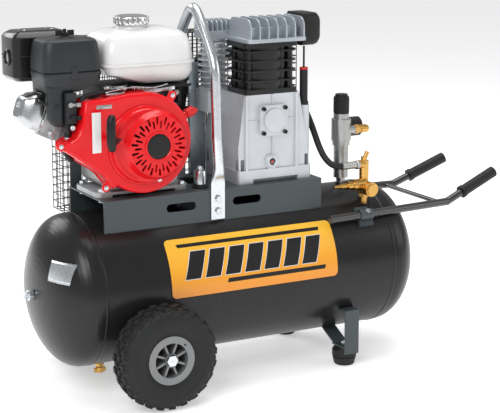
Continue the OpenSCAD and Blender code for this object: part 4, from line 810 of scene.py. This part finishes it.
def makeLinkage():
    bm = bmesh.new()   # pressed plate that carries the tank and the governor
    addBlock(bm, (-336, -66, 727), (-116, 88, 733), bevel=1.5)
    addBlock(bm, (-336, -70, 686), (-326, 80, 731), bevel=1.5)
    addBlock(bm, (-150, -60, 686), (-140, 80, 731), bevel=1.5)
    addBlock(bm, (-322, -58, 686), (-262, 40, 722), bevel=4)
    addBlock(bm, (-236, -50, 686), (-176, 60, 718), bevel=5)
    keep(bm, "tankBracket", "chassis", "black_plastic")
    bm = bmesh.new()
    addBlock(bm, (-346, -86, 716), (-232, -83.5, 725), bevel=0.8, turn=Matrix.Rotation(math.radians(6), 4, "Y"))
    addBlock(bm, (-262, -90, 722), (-172, -87.5, 730), bevel=0.8, turn=Matrix.Rotation(math.radians(-5), 4, "Y"))
    addBlock(bm, (-308, -84, 708), (-299, -70, 742), bevel=0.8)
    addPipe(bm, smoothPath([(-352, -84, 728), (-330, -90, 733), (-280, -90, 738), (-226, -89, 734),
                            (-190, -88, 740)], 5), 1.3, 8)
    for start, end in clutter["springs"]:
        start, end = Vector(start), Vector(end)
        turns, steps = 13, 8
        coil = []
        for k in range(turns * steps + 1):
            angle = k * math.tau / steps
            coil.append(start.lerp(end, k / (turns * steps)) + Vector((0, 4 * math.cos(angle), 4 * math.sin(angle))))
        addPipe(bm, coil, 0.8, 8)
    keep(bm, "governorLinkage", "chassis", "zinc")
    bm = bmesh.new()
    for x, y, z in ((-318, -70, 712), (-244, -72, 722), (-186, -90, 726), (-154, -62, 714), (-300, -85, 736)):
        addBolt(bm, (x, y, z), (0, -1, 0), 4.6, 4)
    for x in (-330, -120):
        addBolt(bm, (x, -58, 733), (0, 0, 1), 4.6, 4)
    keep(bm, "linkageBolts", "chassis", "steel")
    bm = bmesh.new()   # fuel line from the tank's tap down to the carburettor
    addPipe(bm, smoothPath([(-300, -40, 742), (-318, -62, 736), (-352, -76, 728), (-384, -80, 716),
                            (-412, -78, 700)], 5), 4)
    addPipe(bm, smoothPath([(-402, -60, 720), (-380, -72, 702), (-352, -60, 694), (-330, -50, 690)], 5), 3)
    keep(bm, "fuelLine", "chassis", "black_rubber")
    bm = bmesh.new()
    addBlock(bm, (-386, -50, 664), (-346, 20, 712), bevel=5)
    addTurned(bm, [(0, 0), (16, 0), (18, 3), (18, 12), (12, 16), (0, 16)], (-366, -50, 688), (0, -1, 0), steps=28)
    keep(bm, "carburettorBody", "chassis", "cast_aluminium")
    bm = bmesh.new()   # white adjusting screw and hexagon sediment bowl on the control panel
    addBolt(bm, (-437, -70, 631), (0, 0, -1), 9, 8, washer=False)
    addBolt(bm, (-432, -89, 655), (0, -1, 0), 6, 3, washer=False, socket=True)
    keep(bm, "sedimentBowl", "chassis", "zinc")
    bm = bmesh.new()   # plain labels, kept blank
    addBlock(bm, (-394, -113.2, 596), (-372, -111.9, 690), bevel=0.5)
    keep(bm, "engineLabel", "chassis", "fuel_tank_white")
    bm = bmesh.new()
    addBlock(bm, (-382, -113.4, 697), (-344, -111.9, 706), bevel=0.5)
    keep(bm, "serialPlate", "chassis", "steel")


makeRockerCover()
makeLinkage()
print("engine details made")

hoop = {
    "x": -77, "footX": -68, "radius": 12.5,
    "half": [(119, 600), (117, 660), (115, 720), (114, 748), (111, 770), (102, 792), (87, 814), (67, 841), (48, 865),
             (32, 883), (16, 898), (0, 904)],
    # foot: height, middle, half width, half thickness
    "foot": [(405, 107, 19, 2.4), (407, 107, 19, 2.45), (492, 107, 19, 2.45), (500, 108.4, 18.4, 3.4),
             (510, 112.5, 16.5, 6.4),
             (520, 116, 14.6, 9.6), (532, 118.4, 13, 12), (545, 119, 12.5, 12.5), (604, 118.9, 12.3, 12.3)],
}


def makeHoop():
    bm = bmesh.new()
    left = [(hoop["x"], -y, z) for y, z in hoop["half"]]
    right = [(hoop["x"], y, z) for y, z in hoop["half"][-2::-1]]
    addPipe(bm, smoothPath(left + right, 6), hoop["radius"], sides=32)
    for side in (-1, 1):
        rings = []
        for h, y, hx, hy in hoop["foot"]:
            lean = min(1, max(0, (h - 496) / 100))
            rings.append((h, hoop["footX"] + lean * (hoop["x"] - hoop["footX"]), side * y, hx, hy, min(hx, hy) - 0.05))
        addLoft(bm, rings, corner=8)
    keep(bm, "liftingHoop", "chassis", "zinc", "roll_bar", angle=40)


makeHoop()

hose = {
    "points": [(77, 82, 830), (104, 86, 829), (134, 88, 815), (164, 84, 784), (190, 74, 744), (212, 54, 704),
               (228, 30, 668),
               (238, 6, 636), (243, -16, 604), (245, -36, 574), (246, -56, 546), (249, -76, 523), (257, -92, 508),
               (270, -101, 501), (290, -103, 500)],
    "radius": 8, "ferrule": 9.5,
}


def makeHose():
    line = smoothPath(hose["points"], 4)
    bm = bmesh.new()
    addPipe(bm, line, hose["radius"], sides=24)
    piece = keep(bm, "deliveryHose", "chassis", "black_rubber", "delivery_hose")
    way = Vector((1, 0, 0))
    bm = bmesh.new()
    r = hose["ferrule"]
    crimp = [(8.05, 0), (r, 0.4)]
    for k in range(6):
        crimp += [(r, 2 + 6 * k), (r - 0.9, 3.2 + 6 * k), (r - 0.9, 5 + 6 * k), (r, 6.2 + 6 * k)]
    crimp += [(r, 40), (6, 41), (0, 41)]
    addTurned(bm, [(0, 1)] + crimp, (284, -103, 500), way, steps=32)
    addRod(bm, (325, -103, 500), (333.9, -103, 500), 12, sides=6, bevel=0.8)
    addTurned(bm, [(0, 0), (r, 0.3), (r, 15), (7, 16.8), (0, 16.8)], (67.1, 82, 830), way, steps=32)
    ends = keep(bm, "hoseFerrules", "chassis", "steel")


makeHose()
print("hoop and delivery hose made")

shell = {"radius": 185, "height": 248, "seam": 395}
label = {
    # x range and how far it runs up the round of the shell, in mm
    "x": (-233, 228), "up": (-6, 143), "corner": 15, "lift": 0.3, "thick": 0.25,
    "bars": 7, "barWidth": 40, "barGap": 13, "lean": 24, "barUp": (38, 104), "stripUp": (19, 29),
    # the bar rim is the width of the white outline round each bar, a painted sheen of light round the black bars
    "barSheenRim": 1.6, "plateFrom": (-600, -104, 322), "plateSize": (34, 24),
}


def roundedOutline(x0, x1, y0, y1, r, steps=6):
    points = []
    for cx, cy, first in ((x1 - r, y1 - r, 0), (x0 + r, y1 - r, 90), (x0 + r, y0 + r, 180), (x1 - r, y0 + r, 270)):
        points += [(cx + r * math.cos(math.radians(first + 90 * k / steps)),
                    cy + r * math.sin(math.radians(first + 90 * k / steps))) for k in range(steps + 1)]
    return points


def addDecal(bm, outline, lift):
    # a thin sheet cut to the outline and wrapped on the front of the shell
    part = bmesh.new()
    part.faces.new([part.verts.new((u, v, 0)) for u, v in outline])
    for k in range(-1, 37):
        bmesh.ops.bisect_plane(part, geom=part.verts[:] + part.edges[:] + part.faces[:], plane_co=(0, 4 * k, 0),
                               plane_no=(0, 1, 0))
    raised = bmesh.ops.extrude_face_region(part, geom=part.faces[:])["geom"]
    bmesh.ops.translate(part, verts=[g for g in raised if isinstance(g, bmesh.types.BMVert)],
                        vec=(0, 0, label["thick"]))
    for v in part.verts:
        r, angle = shell["radius"] + lift + v.co.z, v.co.y / shell["radius"]
        v.co = at(v.co.x, -r * math.cos(angle), shell["height"] + r * math.sin(angle))
    pour(bm, part)


def labelFinish():
    bench = NodeBench("labelYellow")
    place = bench.add("TexCoord").outputs["Object"]
    height = bench.add("SeparateXYZ", {0: place}).outputs[2]
    share = bench.spread(height, 0.25, 0.37, 0, 1)
    tone = bench.mix(share, (0.78, 0.27, 0.012), (0.9, 0.5, 0.035))
    fleck = bench.noise(place, 400, 3)
    tone = bench.mix(bench.spread(fleck, 0.3, 0.7, 0, 0.12), tone, (0.6, 0.2, 0.01))
    bench.put(bench.shader.inputs["Base Color"], tone)
    bench.put(bench.shader.inputs["Roughness"], bench.spread(fleck, 0.3, 0.7, 0.25, 0.34))
    bump = bench.add("Bump", {"Height": fleck, "Distance": 0.00001, "Strength": 0.6})
    bench.put(bench.shader.inputs["Normal"], bump.outputs[0])
    bench.shader.inputs["Coat Weight"].default_value = 0.3
    return bench.material


def makeLabel():
    x0, x1 = label["x"]
    low, high = label["up"]
    lift, thick, corner = label["lift"], label["thick"], label["corner"]
    bm = bmesh.new()
    addDecal(bm, roundedOutline(x0, x1, low, high, corner), lift)
    keep(bm, "labelEdge", "chassis", "black_plastic")
    bm = bmesh.new()
    addDecal(bm, roundedOutline(x0 + 3, x1 - 3, low + 3, high - 3, corner - 3), lift + thick)
    keep(bm, "labelField", "chassis", "brass", finish=labelFinish())
    # the white outlines round the bars are painted sheen: the pale glow that light leaves round the black bars, drawn
    # as a white rim
    sheenRim, ink = bmesh.new(), bmesh.new()
    addDecal(ink, [(x0 + 34, high - 27), (x1 - 40, high - 27), (x1 - 37, high - 18), (x0 + 31, high - 18)],
             lift + 2 * thick)
    pitch = label["barWidth"] + label["barGap"]
    start = (x0 + x1) / 2 - (label["bars"] * pitch - label["barGap"] + label["lean"]) / 2
    low, high = label["barUp"]
    for k in range(label["bars"]):
        left, lean, width, edge = start + k * pitch, label["lean"], label["barWidth"], label["barSheenRim"]
        # edge widens each bar by its white outline of painted sheen
        addDecal(sheenRim, [(left - edge, low - edge), (left + width + edge, low - edge),
                       (left + width + lean + edge, high + edge), (left + lean - edge, high + edge)], lift + 2 * thick)
        addDecal(ink, [(left, low), (left + width, low), (left + width + lean, high), (left + lean, high)],
                 lift + 3 * thick)
    low, high = label["stripUp"]
    addDecal(ink, [(x0 + 150, low), (x1 - 40, low), (x1 - 36, high), (x0 + 154, high)], lift + 2 * thick)
    keep(sheenRim, "labelPaintedSheen", "chassis", "fuel_tank_white")
    keep(ink, "labelBars", "chassis", "black_plastic")
    # small blank data plate, laid on the dished end
    domeNode = frame["nodes"]["tank_heads"]
    x, y, z = label["plateFrom"]
    w, h = label["plateSize"]
    bm = bmesh.new()
    bmesh.ops.create_grid(bm, x_segments=10, y_segments=8, size=1)
    for v in bm.verts:
        start = at(x, y + v.co.x * w, z + v.co.y * h)
        hit, place, normal, _ = domeNode.ray_cast(start, Vector((1, 0, 0)))
        v.co = (place + normal * 0.0004) if hit else start
    bmesh.ops.solidify(bm, geom=bm.faces[:], thickness=0.0003)
    keep(bm, "dataPlate", "chassis", "zinc")


def makeWelds():
    bm = bmesh.new()
    r, seam = shell["radius"], shell["seam"]
    bead = [(r - 2.5, -4.2), (r + 0.2, -3.4), (r + 1.1, -1.2), (r + 1.1, 1.2), (r + 0.2, 3.4), (r - 2.5, 4.2)]
    for side in (-1, 1):
        addTurned(bm, bead, (side * seam, 0, shell["height"]), (1, 0, 0), steps=120, closed=True)
    keep(bm, "shellWelds", "chassis", "tank_black")
    # beads where the fittings and brackets meet the shell
    bm = bmesh.new()
    shellNode = frame["nodes"]["tank_shell"]

    def lay(points, radius=2.2):
        line = []
        for x, y in points:
            hit, place, normal, _ = shellNode.ray_cast(at(x, y, 500), Vector((0, 0, -1)))
            if hit:
                line.append(((place.x - middleX) * 1000, place.y * 1000, place.z * 1000))
        addPipe(bm, line, radius, 8)
    for x, y, size in ((345, 0, 14), (352, -100, 15)):
        lay([(x + size * math.cos(k * math.tau / 24), y + size * math.sin(k * math.tau / 24)) for k in range(25)])
    for x in (-360, 219):
        lay([(x, -90), (x, -101), (x + (8 if x < 0 else -8), -104.5)])
    keep(bm, "fittingWelds", "chassis", "tank_black")


def makeGauge():
    # dial, marks and figures on the face that looks along +X
    centre = Vector((408.2, 26, 573))
    bm = bmesh.new()
    addTurned(bm, [(1.8, 0), (22.3, 0), (22.3, 0.3), (1.8, 0.3)], centre, (1, 0, 0), steps=48, closed=True)
    keep(bm, "gaugeDial", "chassis", "fuel_tank_white")
    bm = bmesh.new()
    for k in range(33):
        angle = math.radians(225 - k * 270 / 32)
        long = 4.2 if k % 4 == 0 else 2.4
        part = bmesh.new()
        bmesh.ops.create_cube(part, size=1)
        bmesh.ops.scale(part, verts=part.verts, vec=(0.0002, 0.0006 if k % 4 == 0 else 0.0004, long / 1000))
        spot = centre + Vector((0.4, math.cos(angle) * (20.5 - long / 2), math.sin(angle) * (20.5 - long / 2)))
        pour(bm, part, Matrix.Translation(at(*spot)) @ Matrix.Rotation(angle - math.pi / 2, 4, "X"))
    for k in range(0, 33, 8):
        angle = math.radians(225 - k * 270 / 32)
        text = bpy.data.curves.new("figure", "FONT")
        text.body, text.size, text.extrude, text.align_x, text.align_y = str(k // 2), 0.0052, 0.0001, "CENTER", "CENTER"
        holder = bpy.data.objects.new("figure", text)
        mesh = bpy.data.meshes.new_from_object(holder)
        part = bmesh.new()
        part.from_mesh(mesh)
        for spare, store in ((holder, bpy.data.objects), (text, bpy.data.curves), (mesh, bpy.data.meshes)):
            store.remove(spare)
        spot = centre + Vector((0.4, math.cos(angle) * 12.4, math.sin(angle) * 12.4))
        upright = Matrix.Rotation(math.pi / 2, 4, "Z") @ Matrix.Rotation(math.pi / 2, 4, "X")
        pour(bm, part, Matrix.Translation(at(*spot)) @ upright)
    keep(bm, "gaugeMarks", "chassis", "black_plastic")


def makeRope():
    turn = math.radians(35)
    way = Vector((math.cos(turn), math.sin(turn), 0))
    grip = Vector((-363, -152, 626))
    bm = bmesh.new()
    start, end = grip + way * 58, grip + way * 6
    addPipe(bm, [start.lerp(end, k / 16) for k in range(17)], 2.3, 12)
    mesh = bpy.data.meshes.new("starterRope")
    bmesh.ops.recalc_face_normals(bm, faces=bm.faces)
    bm.to_mesh(mesh)
    bm.free()
    for face in mesh.polygons:
        face.use_smooth = True
    mesh.materials.append(finishes["belt_rubber"])
    rope = bpy.data.objects.new("starterRope", mesh)
    bpy.context.scene.collection.objects.link(rope)
    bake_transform(rope)


makeLabel()
makeWelds()
makeGauge()
makeRope()
print("label, welds, gauge and rope made")

guard = {
    "x": (-367, 292), "y": (137.2, 207.6), "z": (403, 829), "wire": 1.15, "frame": 2.1, "across": 12.7, "up": 19.4,
    # openings in the front for the two shafts: x, z, radius
    "openings": [(-243, 605, 46), (97, 630, 48)],
}


def stretches(low, high, place, openings):
    # the parts of one wire that lie outside the round openings
    cuts = [(low, high)]
    for centre, middle, radius in openings:
        reach = radius * radius - (place - centre) ** 2
        if reach > 0:
            reach = math.sqrt(reach)
            cuts = [piece for a, b in cuts for piece in ((a, min(b, middle - reach)), (max(a, middle + reach), b))
                    if piece[1] - piece[0] > 1]
    return cuts


def makeGuard():
    x0, x1 = guard["x"]
    y0, y1 = guard["y"]
    z0, z1 = guard["z"]
    wire = guard["wire"]
    columns = round((x1 - x0) / guard["across"])
    rows = round((z1 - z0) / guard["up"])
    xs = [x0 + wire + k * (x1 - x0 - 2 * wire) / columns for k in range(columns + 1)]
    zs = [z0 + wire + k * (z1 - z0 - 2 * wire) / rows for k in range(rows + 1)]
    bm = bmesh.new()
    for y, openings in ((y0, guard["openings"]), (y1, [])):
        for x in xs:
            for a, b in stretches(z0, z1, x, openings):
                addRod(bm, (x, y, a), (x, y, b), wire, sides=6)
        for z in zs:
            for a, b in stretches(x0, x1, z, [(cz, cx, r) for cx, cz, r in openings]):
                addRod(bm, (a, y, z), (b, y, z), wire, sides=6)
        for cx, cz, r in openings:
            ring = [(cx + (r + 1) * math.cos(k * math.tau / 36), y,
                     cz + (r + 1) * math.sin(k * math.tau / 36)) for k in range(37)]
            addPipe(bm, ring, guard["frame"], 8)
    for z in (zs[0], zs[-1]):
        for x in xs:
            addRod(bm, (x, y0, z), (x, y1, z), wire, sides=6)
    for x in (xs[0], xs[-1]):
        for z in zs[1:-1]:
            addRod(bm, (x, y0, z), (x, y1, z), wire, sides=6)
    for step in (1, 2):   # two long wires round the sides hold the rungs
        y = y0 + step * (y1 - y0) / 3
        for z in (zs[0], zs[-1]):
            addRod(bm, (x0, y, z), (x1, y, z), wire, sides=6)
        for x in (xs[0], xs[-1]):
            addRod(bm, (x, y, z0), (x, y, z1), wire, sides=6)
    keep(bm, "beltGuardCage", "chassis", "guard_black", "guard_front", "guard_rear", "guard_edges", angle=50)
    bm = bmesh.new()   # light upright behind the engine
    addBlock(bm, (-39, 98.6, 478), (4.5, 100.3, 690), bevel=0.6)
    addBlock(bm, (-39, 98.6, 688), (-13, 104.4, 757), bevel=0.6)
    keep(bm, "guardPost", "chassis", "zinc", finish=finishes["post_zinc"])


pump = {
    "first": (97, -26), "second": (15, 72), "bottom": 694, "top": 820,
    "fins": 8, "finRadius": 40, "barrel": 29, "finHalf": 1.5,
    "coverScrews": [(67, 600), (127, 600), (67, 660), (127, 660)], "glass": (94, 527),
    # rounded pot on the inlet: x, half depth, half height, corner
    "filter": [(190.2, 41, 40, 12), (224, 41, 40, 13), (236, 39, 38.5, 17), (242, 35, 34, 18), (245.5, 27, 27, 16)],
}


def makePump():
    x, y = pump["first"]
    bm = bmesh.new()
    bottom, top = pump["bottom"], pump["top"]
    addLoft(bm, [(bottom + 2, x, y, 60, 43, 34), (top - 2, x, y, 60, 43, 34)], corner=10)
    keep(bm, "firstBarrel", "chassis", "cylinder_black")
    x, y = pump["second"]
    barrel, fin, half = pump["barrel"], pump["finRadius"], pump["finHalf"]
    profile = [(0, 0), (fin - 2, 0), (fin - 2, 6), (barrel + 2, 7)]
    pitch = (top - bottom - 12) / pump["fins"]
    for k in range(pump["fins"]):
        middle = 12 + (k + 0.3) * pitch
        profile += [(barrel, middle - 4), (barrel + 1, middle - half - 0.6), (fin - 1, middle - half), (fin, middle),
                    (fin - 1, middle + half), (barrel + 1, middle + half + 0.6), (barrel, middle + 4)]
    profile += [(barrel + 2, top - bottom - 3), (barrel + 2, top - bottom), (0, top - bottom)]
    bm = bmesh.new()
    addTurned(bm, profile, (x, y, bottom), (0, 0, 1), steps=56)
    keep(bm, "secondBarrelFins", "chassis", "pump_silver", "second_cylinder", angle=40)
    bm = bmesh.new()
    for x, z in pump["coverScrews"]:
        addBolt(bm, (x, -89.4, z), (0, -1, 0), 5.2, 6.2, washer=False, socket=True)
    keep(bm, "coverScrews", "chassis", "zinc", finish=finishes["screw_black"])
    x, z = pump["glass"]
    bm = bmesh.new()
    addTurned(bm, [(8.6, 0), (16, 0), (16, 6.5), (14.5, 8.6), (10, 8.6), (8.6, 7.4)], (x, -80, z), (0, -1, 0),
              closed=True)
    keep(bm, "sightGlassRing", "chassis", "pump_silver", "sight_glass")
    bm = bmesh.new()
    addTurned(bm, [(0, 0), (8.7, 0), (8.7, 4.6), (5, 5.6), (0, 6)], (x, -80, z), (0, -1, 0))
    keep(bm, "sightGlassLens", "chassis", "lens_red", finish=finishes["glass_dark"])
    bm = bmesh.new()
    addTurned(bm, [(0, 0), (3.2, 0), (3.2, 0.8), (0, 1.2)], (x, -85.6, z), (0, -1, 0), steps=24)
    keep(bm, "sightGlassDot", "chassis", "lens_red")
    sideways = Matrix(((0, 0, 1, middleX), (1, 0, 0, 0), (0, 1, 0, 0), (0, 0, 0, 1)))
    bm = bmesh.new()
    addLoft(bm, [(x, -26, 844, hy, hz, r) for x, hy, hz, r in pump["filter"]], sideways, corner=8)
    keep(bm, "intakeFilterPot", "chassis", "black_plastic", "intake_filter", angle=30)
    bm = bmesh.new()
    addTurned(bm, [(4, 0), (10.6, 0), (10.6, 4), (9, 5.4), (4, 5.4)], (197, -60, 745.5), (0, 0, 1), steps=32,
              closed=True)
    keep(bm, "breatherRing", "chassis", "red_plastic")
    bm = bmesh.new()   # rubber bush with its steel can, standing on the deck
    addTurned(bm, [(0, 0), (21, 0), (21, 3), (17, 6), (17, 9), (0, 9)], (-92, -60, 477), (0, 0, 1), steps=40)
    keep(bm, "deckBushFoot", "chassis", "black_rubber")
    bm = bmesh.new()
    addTurned(bm, [(0, 8.5), (15.2, 8.5), (15.2, 40), (14, 42), (6, 42), (6, 46), (0, 46)], (-92, -60, 477),
              (0, 0, 1), steps=40)
    addBolt(bm, (-92, -60, 522), (0, 0, 1), 7, 6)
    keep(bm, "deckBushCan", "chassis", "zinc")


makeGuard()
makePump()
print("belt guard and pump details made")
